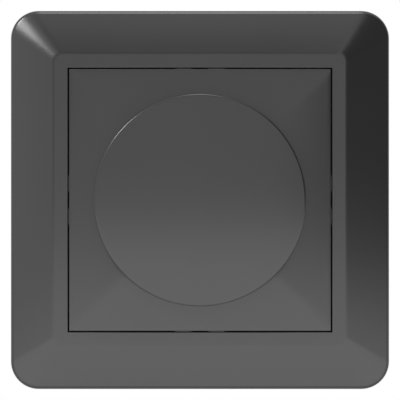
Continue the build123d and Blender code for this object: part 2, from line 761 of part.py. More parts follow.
# Choke: a wound ring that lies on the board, its outer side ribbed by the turns of wire
with BuildPart() as choke:
    choke_depth = board_back_depth + choke_tube_radius
    with BuildSketch(Plane.XY.offset(choke_place[1])):
        with Locations((choke_place[0] + choke_ring_radius, choke_depth)):
            RectangleRounded(2 * choke_tube_radius, 2 * choke_tube_radius, choke_tube_radius * 0.6)
    revolve(axis=Axis((choke_place[0], 0, choke_place[1]), (0, 1, 0)))
    with BuildSketch(behind_wall(board_back_depth + 2 * choke_tube_radius)):
        with Locations(choke_place):
            with PolarLocations(choke_ring_radius + choke_tube_radius, choke_turns):
                Circle(choke_tube_radius / 5)
    extrude(amount=2 * choke_tube_radius)
choke.part.label = "choke"
export_step(choke.part, "parts/choke.step")

with BuildPart() as film_capacitor:
    with BuildSketch(behind_wall(board_back_depth)):
        with Locations(film_capacitor_place):
            Rectangle(film_capacitor_size[0], film_capacitor_size[1])
    extrude(amount=-film_capacitor_size[2])
    fillet(film_capacitor.edges().group_by(Axis.Y)[-1], moulding_gap * 2)
film_capacitor.part.label = "film_capacitor"
export_step(film_capacitor.part, "parts/film_capacitor.step")

with BuildPart() as bulk_capacitor:
    with BuildSketch(behind_wall(board_back_depth)):
        with Locations(bulk_capacitor_place):
            Circle(bulk_capacitor_radius)
    extrude(amount=-bulk_capacitor_length)
    fillet(bulk_capacitor.edges().group_by(Axis.Y)[-1], moulding_gap * 2)
bulk_capacitor.part.label = "bulk_capacitor"
export_step(bulk_capacitor.part, "parts/bulk_capacitor.step")

with BuildPart() as fuse:
    with BuildSketch(behind_wall(board_back_depth)):
        with Locations(fuse_place):
            Circle(fuse_radius)
    extrude(amount=-fuse_length)
    fillet(fuse.edges().group_by(Axis.Y)[-1], moulding_gap)
fuse.part.label = "fuse"
export_step(fuse.part, "parts/fuse.step")

with BuildPart() as varistor:
    with BuildSketch(Plane.XY.offset(varistor_place[1] - varistor_thickness / 2)):
        with Locations((varistor_place[0], board_back_depth + varistor_lead + varistor_radius)):
            Circle(varistor_radius)
        with Locations((varistor_place[0], board_back_depth + (varistor_lead + varistor_radius) / 2)):
            Rectangle(varistor_radius, varistor_lead + varistor_radius)
    extrude(amount=varistor_thickness)
varistor.part.label = "varistor"
export_step(varistor.part, "parts/varistor.step")

# Minimum-brightness trimmer on the board, reached from the front through the ring and the flange
trimmer_front_depth = board_depth - trimmer_depth
with BuildPart() as trimmer_body:
    with BuildSketch(behind_wall(board_depth)):
        with Locations(trimmer_place):
            Rectangle(trimmer_side, trimmer_side)
    extrude(amount=trimmer_depth)
    with BuildSketch(behind_wall(trimmer_front_depth)):
        with Locations(trimmer_place):
            Circle(trimmer_stem_radius + shaft_gap)
    extrude(amount=-(trimmer_stem_length + moulding_gap), mode=Mode.SUBTRACT)
trimmer_body.part.label = "trimmer_body"
export_step(trimmer_body.part, "parts/trimmer_body.step")

with BuildPart() as trimmer_rotor:
    with BuildSketch(behind_wall(trimmer_front_depth)):
        with Locations(trimmer_place):
            Circle(trimmer_rotor_radius)
    extrude(amount=trimmer_rotor_thickness)
    with BuildSketch(behind_wall(trimmer_front_depth)):
        with Locations(trimmer_place):
            Circle(trimmer_stem_radius)
    extrude(amount=-trimmer_stem_length)
    with BuildSketch(behind_wall(trimmer_front_depth - trimmer_rotor_thickness)):
        with Locations(trimmer_place):
            Rectangle(1.6 * trimmer_rotor_radius, trimmer_slot_width)
            Rectangle(trimmer_slot_width, 1.6 * trimmer_rotor_radius)
    extrude(amount=-trimmer_slot_depth, mode=Mode.SUBTRACT)
trimmer_rotor.part.label = "trimmer_rotor"
export_step(trimmer_rotor.part, "parts/trimmer_rotor.step")

# Terminals: each block has one funnelled wire entry and above it a slot for its release pusher
block_rear_depth = insert_depth + terminal_proud
pusher_front_depth = block_rear_depth + pusher_proud - pusher_length
for index, wire in enumerate(terminal_names):
    block_x = (index - (len(terminal_names) - 1) / 2) * terminal_pitch
    with BuildPart() as terminal_block:
        with BuildSketch(behind_wall(board_back_depth)):
            with Locations((block_x, terminal_centre)):
                Rectangle(terminal_width, terminal_height)
        extrude(amount=-(block_rear_depth - board_back_depth))
        with BuildSketch(behind_wall(block_rear_depth)):
            with Locations((block_x, terminal_centre + wire_entry_place)):
                Circle(wire_entry_radius)
        extrude(amount=wire_entry_length, mode=Mode.SUBTRACT)
        mouth = terminal_block.edges().filter_by(GeomType.CIRCLE).sort_by(Axis.Y)[-1]
        chamfer(mouth, wire_funnel)
        with BuildSketch(behind_wall(block_rear_depth)):
            with Locations((block_x, terminal_centre + pusher_place)):
                Rectangle(pusher_side + 2 * slide_gap, pusher_side + 2 * slide_gap)
        extrude(amount=pusher_length + 2 * pusher_travel - pusher_proud, mode=Mode.SUBTRACT)
    terminal_block.part.label = f"terminal_block_{wire}"
    export_step(terminal_block.part, f"parts/terminal_block_{wire}.step")

    with BuildPart() as terminal_pusher:
        with BuildSketch(behind_wall(pusher_front_depth)):
            with Locations((block_x, terminal_centre + pusher_place)):
                Rectangle(pusher_side, pusher_side)
        extrude(amount=-pusher_length)
        with BuildSketch(behind_wall(pusher_front_depth + pusher_length)):
            with Locations((block_x, terminal_centre + pusher_place)):
                Rectangle(pusher_side * 0.7, pusher_grip_width)
        extrude(amount=pusher_grip_width, mode=Mode.SUBTRACT)
    terminal_pusher.part.label = f"terminal_pusher_{wire}"
    export_step(terminal_pusher.part, f"parts/terminal_pusher_{wire}.step")

# Claws: each is a bent fork hinged on the ring's ears. Its screw pulls a barrel nut against the
# fork, and that swings the toothed arm outwards against the wall box.
nut_depth = claw_pivot_depth + claw_sheet / 2 + claw_nut_radius + shaft_gap
for side, side_name in ((-1, "left"), (1, "right")):
    middle = -side * claw_offset
    pivot_x = side * claw_pivot_place
    screw_x = side * claw_screw_place
    arm_inner_x = side * claw_arm_place
    arm_outer_x = side * (claw_arm_place + claw_sheet)
    tooth_x = side * (claw_arm_place + claw_sheet + claw_tooth)
    sheet_front = claw_pivot_depth - claw_sheet / 2
    sheet_back = claw_pivot_depth + claw_sheet / 2
    with BuildPart() as claw:
        with BuildSketch(Plane.XY.offset(middle - claw_width / 2)):
            with BuildLine():
                Polyline(
                    (pivot_x, sheet_front),
                    (arm_outer_x, sheet_front),
                    (arm_outer_x, claw_length - claw_tooth_length),
                    (tooth_x, claw_length),
                    (arm_inner_x, claw_length),
                    (arm_inner_x, sheet_back),
                    (pivot_x, sheet_back),
                    close=True,
                )
            make_face()
            with Locations((pivot_x, claw_pivot_depth)):
                Circle(claw_eye_radius)
                Circle(claw_eye_bore, mode=Mode.SUBTRACT)
        extrude(amount=claw_width)
        outer_bend = claw.edges().filter_by(Axis.Z).sort_by(
            lambda e: abs(e.center().X - arm_outer_x) + abs(e.center().Y - sheet_front)
        )[0]
        fillet(outer_bend, claw_sheet * 0.8)
        with BuildSketch(behind_wall(sheet_back + claw_eye_radius)):
            with Locations(((pivot_x + arm_inner_x) / 2 - side * claw_eye_radius, middle)):
                Rectangle(
                    claw_arm_place - claw_pivot_place + 2 * claw_eye_radius,
                    claw_width - 2 * claw_prong_width,
                )
        extrude(amount=sheet_back + claw_eye_radius, mode=Mode.SUBTRACT)
        with BuildSketch(Plane.YZ.offset(min(arm_inner_x, tooth_x))):
            with BuildLine():
                Polyline(
                    (claw_length, middle - claw_width / 4),
                    (claw_length, middle + claw_width / 4),
                    (claw_length - 1.5 * claw_tooth_length, middle),
                    close=True,
                )
            make_face()
        extrude(amount=claw_sheet + claw_tooth, mode=Mode.SUBTRACT)
    claw.part.label = f"claw_{side_name}"
    export_step(claw.part, f"parts/claw_{side_name}.step")

    with BuildPart() as claw_pin:
        pin_end = ear_offset + claw_sheet
        with BuildSketch(Plane.XY.offset(middle - pin_end)):
            with Locations((pivot_x, claw_pivot_depth)):
                Circle(claw_pin_radius)
        extrude(amount=2 * pin_end)
        with BuildSketch(Plane.XY.offset(middle + pin_end), Plane.XY.offset(middle - pin_end - claw_pin_head)):
            with Locations((pivot_x, claw_pivot_depth)):
                Circle(claw_pin_head_radius)
        extrude(amount=claw_pin_head)
    claw_pin.part.label = f"claw_pin_{side_name}"
    export_step(claw_pin.part, f"parts/claw_pin_{side_name}.step")

    with BuildPart() as claw_screw:
        with BuildSketch(facing_room(ring_thickness)):
            with Locations((screw_x, middle)):
                Circle(claw_screw_radius)
        extrude(amount=-claw_screw_length)
        chamfer(claw_screw.edges().sort_by(Axis.Y)[-1], claw_screw_radius / 3)
        with BuildSketch(facing_room(ring_thickness)):
            with Locations((screw_x, middle)):
                Circle(claw_screw_head_radius)
        extrude(amount=claw_screw_head)
        fillet(claw_screw.edges().sort_by(Axis.Y)[0], claw_screw_head / 3)
        with BuildSketch(facing_room(ring_thickness + claw_screw_head)):
            with Locations((screw_x, middle)):
                Rectangle(1.3 * claw_screw_head_radius, claw_screw_radius / 2)
                Rectangle(claw_screw_radius / 2, 1.3 * claw_screw_head_radius)
        extrude(amount=-claw_screw_head / 2, mode=Mode.SUBTRACT)
    claw_screw.part.label = f"claw_screw_{side_name}"
    export_step(claw_screw.part, f"parts/claw_screw_{side_name}.step")

    with BuildPart() as claw_nut:
        with BuildSketch(Plane.XY.offset(middle - claw_width / 2)):
            with Locations((screw_x, nut_depth)):
                Circle(claw_nut_radius)
        extrude(amount=claw_width)
        with BuildSketch(behind_wall(nut_depth + claw_nut_radius)):
            with Locations((screw_x, middle)):
                Circle(claw_screw_radius + shaft_gap)
        extrude(amount=2 * claw_nut_radius, mode=Mode.SUBTRACT)
    claw_nut.part.label = f"claw_nut_{side_name}"
    export_step(claw_nut.part, f"parts/claw_nut_{side_name}.step")
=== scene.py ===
import bpy
import bmesh
import json
from math import atan, cos, exp, log, pi, radians, sin, sqrt, tan
from mathutils import Matrix, Vector


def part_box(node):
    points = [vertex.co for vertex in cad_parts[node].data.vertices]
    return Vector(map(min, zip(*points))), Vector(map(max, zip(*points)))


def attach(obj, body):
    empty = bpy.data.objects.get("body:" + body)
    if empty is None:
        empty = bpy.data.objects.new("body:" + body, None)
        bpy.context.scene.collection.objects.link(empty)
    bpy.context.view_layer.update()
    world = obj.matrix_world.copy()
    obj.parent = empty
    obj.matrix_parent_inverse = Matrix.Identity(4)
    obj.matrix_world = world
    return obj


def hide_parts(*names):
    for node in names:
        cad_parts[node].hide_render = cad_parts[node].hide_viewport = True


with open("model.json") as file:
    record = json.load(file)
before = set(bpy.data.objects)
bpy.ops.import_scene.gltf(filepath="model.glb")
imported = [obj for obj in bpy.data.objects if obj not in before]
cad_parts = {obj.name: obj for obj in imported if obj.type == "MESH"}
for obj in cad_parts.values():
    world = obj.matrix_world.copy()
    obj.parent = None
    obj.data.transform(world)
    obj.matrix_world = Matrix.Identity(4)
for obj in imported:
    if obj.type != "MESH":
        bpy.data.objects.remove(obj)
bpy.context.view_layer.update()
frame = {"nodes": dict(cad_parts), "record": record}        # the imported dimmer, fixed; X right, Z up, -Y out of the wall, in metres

mm = 0.001
scene = bpy.context.scene


# Camera: straight on, so far away that the frame fills the picture as it does in the photograph
photo = {
    "distance": 0.8,            # from the wall's surface to the lens
    "frameSide": 80.0 * mm,
    "outlineHeight": 5.5 * mm,  # above the wall, where the frame is widest
    "framePixels": 378.3,
    "imagePixels": 400,
    "sensorWidth": 36.0,
    "clipStart": 0.01,
}


def makeCamera(photo):
    camera = bpy.data.cameras.new("camera")
    camera.sensor_width = photo["sensorWidth"]
    onSensor = photo["sensorWidth"] * photo["framePixels"] / photo["imagePixels"]
    camera.lens = onSensor * (photo["distance"] - photo["outlineHeight"]) / photo["frameSide"]
    camera.clip_start = photo["clipStart"]
    holder = bpy.data.objects.new("camera", camera)
    holder.location = (0, -photo["distance"], 0)
    holder.rotation_euler = (pi / 2, 0, 0)
    scene.collection.objects.link(holder)
    scene.camera = holder


makeCamera(photo)
scene.view_settings.view_transform = "Standard"
print("camera placed")


# Small helpers for node trees, shader and geometry alike

def linear(hexColour):
    parts = [int(hexColour[i:i + 2], 16) / 255 for i in (1, 3, 5)]
    return tuple(c / 12.92 if c <= 0.04045 else ((c + 0.055) / 1.055) ** 2.4 for c in parts) + (1.0,)


def addNode(tree, kind, settings=None, inputs=None):
    # An input goes by its name, or by its number where two in use share a name. It takes a value, a
    # socket, or a node, which stands for its first output in use.
    node = tree.nodes.new(kind)
    for name, value in (settings or {}).items():
        setattr(node, name, value)
    for name, value in (inputs or {}).items():
        entry = node.inputs[name] if isinstance(name, int) else next(
            socket for socket in node.inputs if socket.enabled and socket.name == name)
        if isinstance(value, bpy.types.Node):
            value = next(socket for socket in value.outputs if socket.enabled)
        if isinstance(value, bpy.types.NodeSocket):
            tree.links.new(value, entry)
        else:
            entry.default_value = value
    return node


def newMaterial(name):
    material = bpy.data.materials.new(name)
    material.use_nodes = True
    tree = material.node_tree
    tree.nodes.clear()
    return material, tree


noiseSpan = {"From Min": 0.3, "From Max": 0.7}     # where most of a noise's values lie
fineDetail = 3.0                                   # for noises whose smaller blotches show too
smoothDetail = 1.0


def coverSurface(tree, look, cloud, relief, gloss):
    # the colour follows broad clouds, the gloss its own pattern, and the relief is only a bump
    tone = addNode(tree, "ShaderNodeMapRange", None, {"Value": cloud, **noiseSpan})
    colour = addNode(tree, "ShaderNodeMix", {"data_type": "RGBA"}, {
        "Factor": tone, "A": linear(look["colour"]), "B": linear(look["shade"]),
    })
    smooth, rough = look["roughness"]
    roughness = addNode(tree, "ShaderNodeMapRange", None,
                        {"Value": gloss, **noiseSpan, "To Min": smooth, "To Max": rough})
    bump = addNode(tree, "ShaderNodeBump", None,
                   {"Height": relief, "Distance": look["depth"], "Strength": 1.0})
    shader = addNode(tree, "ShaderNodeBsdfPrincipled", None, {
        "Base Color": colour, "Metallic": look.get("metallic", 0.0), "Roughness": roughness,
        "IOR": look.get("ior", 1.5), "Normal": bump,
    })
    addNode(tree, "ShaderNodeOutputMaterial", None, {"Surface": shader})


# Moulded plastics. A spark-eroded tool leaves fine even pits that soften the gloss, and the melt's
# flow leaves broad faint differences of tone. Pits are drawn coarser than real ones, so that they show.
plasticLooks = {
    "anthracite_pc_abs_satin_moulded": {       # dark frame, plate and dial: silky, holds soft reflections
        "colour": "#29292A", "shade": "#262627", "cloud": 30 * mm,
        "roughness": (0.19, 0.22), "grain": 0.35 * mm, "depth": 0.0003 * mm, "ior": 1.59,
    },
    "anthracite_pc_abs_spark_eroded": {        # the same, where the tool stays rough out of sight: matt
        "colour": "#29292A", "shade": "#262627", "cloud": 30 * mm,
        "roughness": (0.6, 0.7), "grain": 0.25 * mm, "depth": 0.004 * mm, "ior": 1.585,
    },
    "grey_pbt_spark_eroded": {                 # insert cover: dull, slightly chalky
        "colour": "#9C9EA0", "shade": "#94969A", "cloud": 12 * mm,
        "roughness": (0.48, 0.58), "grain": 0.3 * mm, "depth": 0.006 * mm,
    },
    "black_phenolic_spark_eroded": {           # housing: matt, with the dust that this resin shows
        "colour": "#4A4A4C", "shade": "#424244", "cloud": 14 * mm,
        "roughness": (0.5, 0.62), "grain": 0.3 * mm, "depth": 0.008 * mm,
    },
    "light_grey_polyamide_moulded": {          # terminal blocks: pale, with a low waxy sheen
        "colour": "#CFD0D0", "shade": "#C6C7C7", "cloud": 6 * mm,
        "roughness": (0.38, 0.46), "grain": 0.25 * mm, "depth": 0.003 * mm,
    },
    "orange_polyamide_moulded": {              # release pushers: the one strong colour, slightly waxy
        "colour": "#E3974D", "shade": "#DB8D44", "cloud": 3 * mm,
        "roughness": (0.35, 0.44), "grain": 0.25 * mm, "depth": 0.003 * mm,
    },
    "natural_nylon_moulded": {                 # trimmer rotor, wiper and plunger: milky
        "colour": "#E1E1DD", "shade": "#D9D8D0", "cloud": 4 * mm,
        "roughness": (0.4, 0.5), "grain": 0.25 * mm, "depth": 0.003 * mm,
    },
    "black_epoxy_transfer_moulded": {          # chips, fuse and potentiometer back: even and dull
        "colour": "#303031", "shade": "#2B2B2C", "cloud": 4 * mm,
        "roughness": (0.5, 0.6), "grain": 0.2 * mm, "depth": 0.004 * mm,
    },
    "ochre_polyester_case_moulded": {          # film capacitor: a box with a faint shine
        "colour": "#CDBA62", "shade": "#C4B058", "cloud": 5 * mm,
        "roughness": (0.32, 0.42), "grain": 0.25 * mm, "depth": 0.003 * mm,
    },
}


def mouldedPlastic(name, look):
    material, tree = newMaterial(name)
    place = addNode(tree, "ShaderNodeTexCoord").outputs["Object"]
    flow = addNode(tree, "ShaderNodeTexNoise", None, {"Vector": place, "Scale": 1 / look["cloud"]})
    grain = addNode(tree, "ShaderNodeTexNoise", None,
                    {"Vector": place, "Scale": 1 / look["grain"], "Detail": fineDetail})
    coverSurface(tree, look, flow, grain, grain)
    return material


# Metals. The plating's mottling is broad, the rolling or turning marks are fine and run one way. A
# stroke's size is given along X, Y and Z, and its width is drawn coarser than the real marks.
metalLooks = {
    "zinc_plated_steel_stamped": {             # ring, claws and barrel nuts: cool, slightly cloudy
        "colour": "#C9CDD2", "shade": "#BEC3C9", "cloud": 5 * mm, "roughness": (0.3, 0.38),
        "stroke": (0.12 * mm, 0.12 * mm, 6 * mm), "depth": 0.0012 * mm, "metallic": 1.0,
    },
    "nickel_plated_steel_turned": {            # screws, pins, nut, washer and shaft: warm and brighter
        "colour": "#C6C3BC", "shade": "#B4B0A8", "cloud": 2 * mm, "roughness": (0.2, 0.3),
        "stroke": (2.5 * mm, 0.1 * mm, 2.5 * mm), "depth": 0.001 * mm, "metallic": 1.0,
    },
    "blued_spring_steel_strip": {              # dial clip: darker, with a cold blue cast
        "colour": "#8D8F96", "shade": "#6E7280", "cloud": 2 * mm, "roughness": (0.3, 0.4),
        "stroke": (3 * mm, 0.1 * mm, 3 * mm), "depth": 0.001 * mm, "metallic": 1.0,
    },
    "zinc_die_cast": {                         # potentiometer case: grainy skin of the mould
        "colour": "#C4C4C6", "shade": "#A5A5A8", "cloud": 1.2 * mm, "roughness": (0.38, 0.52),
        "stroke": (0.3 * mm, 0.3 * mm, 0.3 * mm), "depth": 0.006 * mm, "metallic": 1.0,
    },
    "brass_tube_drawn": {                      # rivets: yellow, with lines along the tube
        "colour": "#D8BE88", "shade": "#C3A468", "cloud": 1.5 * mm, "roughness": (0.24, 0.34),
        "stroke": (0.1 * mm, 2 * mm, 0.1 * mm), "depth": 0.001 * mm, "metallic": 1.0,
    },
    "aluminium_sheet_rolled": {                # heat spreader: pale, lined by the mill's rolls
        "colour": "#D6D8DA", "shade": "#C6C8CB", "cloud": 4 * mm, "roughness": (0.28, 0.38),
        "stroke": (8 * mm, 0.12 * mm, 0.12 * mm), "depth": 0.0015 * mm, "metallic": 1.0,
    },
}


def workedMetal(name, look):
    material, tree = newMaterial(name)
    place = addNode(tree, "ShaderNodeTexCoord").outputs["Object"]
    cloud = addNode(tree, "ShaderNodeTexNoise", None,
                    {"Vector": place, "Scale": 1 / look["cloud"], "Detail": fineDetail})
    drawn = addNode(tree, "ShaderNodeMapping", None,
                    {"Vector": place, "Scale": [1 / size for size in look["stroke"]]})
    strokes = addNode(tree, "ShaderNodeTexNoise", None, {"Vector": drawn, "Scale": 1.0})
    coverSurface(tree, look, cloud, strokes, cloud)
    return material


# Coats: enamel on wire, a shrunk sleeve and epoxy coats, all with a slight orange peel
coatLooks = {
    "copper_wire_enamelled": {                 # choke winding: red-brown metal under clear varnish
        "colour": "#B3703F", "shade": "#9C5930", "cloud": 0.8 * mm,
        "roughness": (0.18, 0.3), "peel": 0.4 * mm, "depth": 0.004 * mm, "metallic": 0.7,
    },
    "navy_sleeve_heat_shrunk": {               # bulk capacitor: the glossiest, tight over the can
        "colour": "#32406A", "shade": "#2B3860", "cloud": 3 * mm,
        "roughness": (0.14, 0.24), "peel": 1.2 * mm, "depth": 0.01 * mm,
    },
    "blue_epoxy_dipped": {                     # varistor: thick and lumpy
        "colour": "#5073AB", "shade": "#45689F", "cloud": 2 * mm,
        "roughness": (0.2, 0.34), "peel": 0.9 * mm, "depth": 0.02 * mm,
    },
    "ochre_epoxy_powder_coated": {             # choke core: dull and slightly pebbled
        "colour": "#B9A55C", "shade": "#AD984E", "cloud": 2 * mm,
        "roughness": (0.4, 0.5), "peel": 0.5 * mm, "depth": 0.01 * mm,
    },
}


def coated(name, look):
    material, tree = newMaterial(name)
    place = addNode(tree, "ShaderNodeTexCoord").outputs["Object"]
    cloud = addNode(tree, "ShaderNodeTexNoise", None, {"Vector": place, "Scale": 1 / look["cloud"]})
    peel = addNode(tree, "ShaderNodeTexNoise", None,
                   {"Vector": place, "Scale": 1 / look["peel"], "Detail": smoothDetail})
    coverSurface(tree, look, cloud, peel, peel)
    return material


# Circuit board: woven glass under green lacquer, which shows as a faint check
boardLooks = {
    "green_glass_laminate_lacquered": {
        "colour": "#3F7C56", "shade": "#37704C", "cloud": 5 * mm,
        "roughness": (0.25, 0.36), "weave": 0.5 * mm, "depth": 0.004 * mm,
    },
}


def lacqueredLaminate(name, look):
    material, tree = newMaterial(name)
    place = addNode(tree, "ShaderNodeTexCoord").outputs["Object"]
    turned = addNode(tree, "ShaderNodeMapping", None, {
        "Vector": place, "Rotation": (pi / 2, 0, 0), "Scale": (1 / look["weave"],) * 3,
    })
    weave = addNode(tree, "ShaderNodeTexChecker", None, {"Vector": turned, "Scale": 1.0}).outputs["Fac"]
    cloud = addNode(tree, "ShaderNodeTexNoise", None, {"Vector": place, "Scale": 1 / look["cloud"]})
    coverSurface(tree, look, cloud, weave, cloud)
    return material


materials = {}
for makeMaterial, looks in ((mouldedPlastic, plasticLooks), (workedMetal, metalLooks),
                            (coated, coatLooks), (lacqueredLaminate, boardLooks)):
    materials |= {name: makeMaterial(name, look) for name, look in looks.items()}
print("materials made:", len(materials))

# The record's material slots, and the finish that each gets here
slotFinish = {
    "anthracite_plastic": "anthracite_pc_abs_satin_moulded",
    "insert_plastic": "grey_pbt_spark_eroded",
    "housing_plastic": "black_phenolic_spark_eroded",
    "terminal_plastic": "light_grey_polyamide_moulded",
    "pusher_plastic": "orange_polyamide_moulded",
    "zinc_steel": "zinc_plated_steel_stamped",
    "bright_steel": "nickel_plated_steel_turned",
    "spring_steel": "blued_spring_steel_strip",
    "diecast_zinc": "zinc_die_cast",
    "brass_rivet": "brass_tube_drawn",
    "spreader_aluminium": "aluminium_sheet_rolled",
    "board_laminate": "green_glass_laminate_lacquered",
    "component_epoxy": "black_epoxy_transfer_moulded",
    "film_case": "ochre_polyester_case_moulded",
    "copper_winding": "copper_wire_enamelled",
    "capacitor_sleeve": "navy_sleeve_heat_shrunk",
    "varistor_coat": "blue_epoxy_dipped",
    "white_plastic": "natural_nylon_moulded",
}
for part in frame["record"]["subparts"]:
    node = frame["nodes"][part["node"]]
    node.data.materials.clear()
    node.data.materials.append(materials[slotFinish[part["material_slot"]]])


# Meshes. Sizes in the dictionaries below are in millimetres, heights count from the wall to the room.

merging = {"made": 1e-7, "turned": 1e-6, "copied": 1e-6}   # points this close, in metres, are one


def finishPiece(name, mesh, body, slot, *replaced, second=None, isSecond=None):
    # isSecond tells from a face's middle, in millimetres, whether it has the second finish. Without
    # it, the faces know already.
    mesh.materials.append(materials[slotFinish[slot]])
    if second:
        mesh.materials.append(materials[second])
    if isSecond:
        for face in mesh.polygons:
            face.material_index = int(isSecond(face.center / mm))
    piece = bpy.data.objects.new(name, mesh)
    scene.collection.objects.link(piece)
    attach(piece, body)
    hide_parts(*replaced)


def meshFrom(name, shells, crease=30):
    # closes the shells, turns their normals out and shades them smooth up to the crease angle
    bmesh.ops.remove_doubles(shells, verts=shells.verts, dist=merging["made"])
    bmesh.ops.dissolve_degenerate(shells, dist=merging["made"], edges=shells.edges)
    bmesh.ops.recalc_face_normals(shells, faces=shells.faces)
    mesh = bpy.data.meshes.new(name)
    shells.to_mesh(mesh)
    shells.free()
    mesh.shade_smooth()
    mesh.set_sharp_from_angle(angle=radians(crease))
    return mesh


def addLoops(shells, loops):
    # quads between neighbouring loops of equal length, and from the last loop to the first
    rings = [[shells.verts.new(point) for point in loop] for loop in loops]
    for ring, following in zip(rings, rings[1:] + rings[:1]):
        for i in range(len(ring)):
            j = (i + 1) % len(ring)
            shells.faces.new((ring[i], ring[j], following[j], following[i]))


def addPrism(shells, outline, offset):
    # a straight prism: the outline's points, and the same points moved by the offset
    front = [shells.verts.new(point) for point in outline]
    back = [shells.verts.new(point + Vector(offset)) for point in outline]
    shells.faces.new(front)
    shells.faces.new(list(reversed(back)))
    for i in range(len(outline)):
        j = (i + 1) % len(outline)
        shells.faces.new((front[j], front[i], back[i], back[j]))


def equalAngles(count):
    return [2 * pi * k / count for k in range(count)]


def roundAxis(reach, height, angle):
    # a place at this reach from the dial's axis, which is the Y axis
    return Vector((reach * cos(angle), -height, reach * sin(angle))) * mm


fillet = {"steps": 5, "hold": 0.06, "mostOfLeg": 0.45}     # leg: the side next to the corner


def filleted(profile, closed=True):
    # Rounds the corners of a profile. Each corner is (reach, height, anything else, fillet radius).
    # A point just beyond each end of an arc holds the flats flat, so that their shading doesn't bend.
    result = []
    count = len(profile)
    for i, corner in enumerate(profile):
        *values, radius = corner
        if radius == 0 or (not closed and i in (0, count - 1)):
            result.append(tuple(values))
            continue
        here = Vector(corner[:2])
        neighbours = (profile[i - 1], profile[(i + 1) % count])
        legs = [Vector(other[:2]) - here for other in neighbours]
        ways = [leg.normalized() for leg in legs]
        half = ways[0].angle(ways[1]) / 2
        middle = here + (ways[0] + ways[1]).normalized() * (radius / sin(half))

        def along(side, distance):
            share = distance / legs[side].length
            return [a + (b - a) * share for a, b in zip(values, neighbours[side][:-1])]

        reach = radius / tan(half)
        ends = [along(side, reach) for side in (0, 1)]
        holds = [along(side, min(reach + fillet["hold"], legs[side].length * fillet["mostOfLeg"]))
                 for side in (0, 1)]
        start, end = (Vector(point[:2]) - middle for point in ends)
        turn = start.angle_signed(end)
        result.append(tuple(holds[0]))
        for k in range(fillet["steps"] + 1):
            share = k / fillet["steps"]
            others = [a + (b - a) * share for a, b in zip(ends[0][2:], ends[1][2:])]
            result.append((*(middle + Matrix.Rotation(-turn * share, 2) @ start), *others))
        result.append(tuple(holds[1]))
    return result


def roundedSquare(half, height, radius, side=14, arc=14):
    # one loop of a square with round corners, denser towards them; each quarter starts mid-side
    flat = half - radius
    quarter = [(half, flat * sin(pi / 2 * k / side)) for k in range(side)]
    for k in range(arc + 1):
        angle = pi / 2 * k / arc
        quarter.append((flat + radius * cos(angle), flat + radius * sin(angle)))
    quarter += [(flat * sin(pi / 2 * k / side), half) for k in reversed(range(1, side))]
    points = []
    for c, s in ((1, 0), (0, 1), (-1, 0), (0, -1)):
        points += [Vector((c * x - s * z, -height, s * x + c * z)) * mm for x, z in quarter]
    return points


# Cover frame: one hollow moulding, lofted from the wall up over the sloped band to the flat rim, with
# a collar round its opening, tabs on the collar that centre the plate, and ribs under the band
coverFrame = {
    "height": 9.2, "cornerRadius": 5.9, "wall": 1.8, "footRadius": 0.2,
    "bevelStart": 5.8, "shoulderRadius": 1.0, "bevelCrown": 0.1, "bevelSteps": 6,
    "rimSide": 61.8, "rimCornerRadius": 2.1, "rimFillet": 2.4, "innerCornerRadius": 1.05,
    "opening": 55.7, "openingCornerRadius": 0.08, "mouthRadius": 0.08,
    "collarWall": 1.5, "collarBottom": 4.0,
    "tabLength": 3.4, "tabSpacing": 7.0, "tabSetback": 2.2, "tabDepth": 2.4, "tabReach": 0.25,
    "ribWidth": 1.0, "ribSpacing": 36.0, "ribBottom": 1.8,
    "rooted": 0.5, "roofRooted": 0.4,          # how deep tabs and ribs reach into the walls
    "gapSlack": 0.01,
}


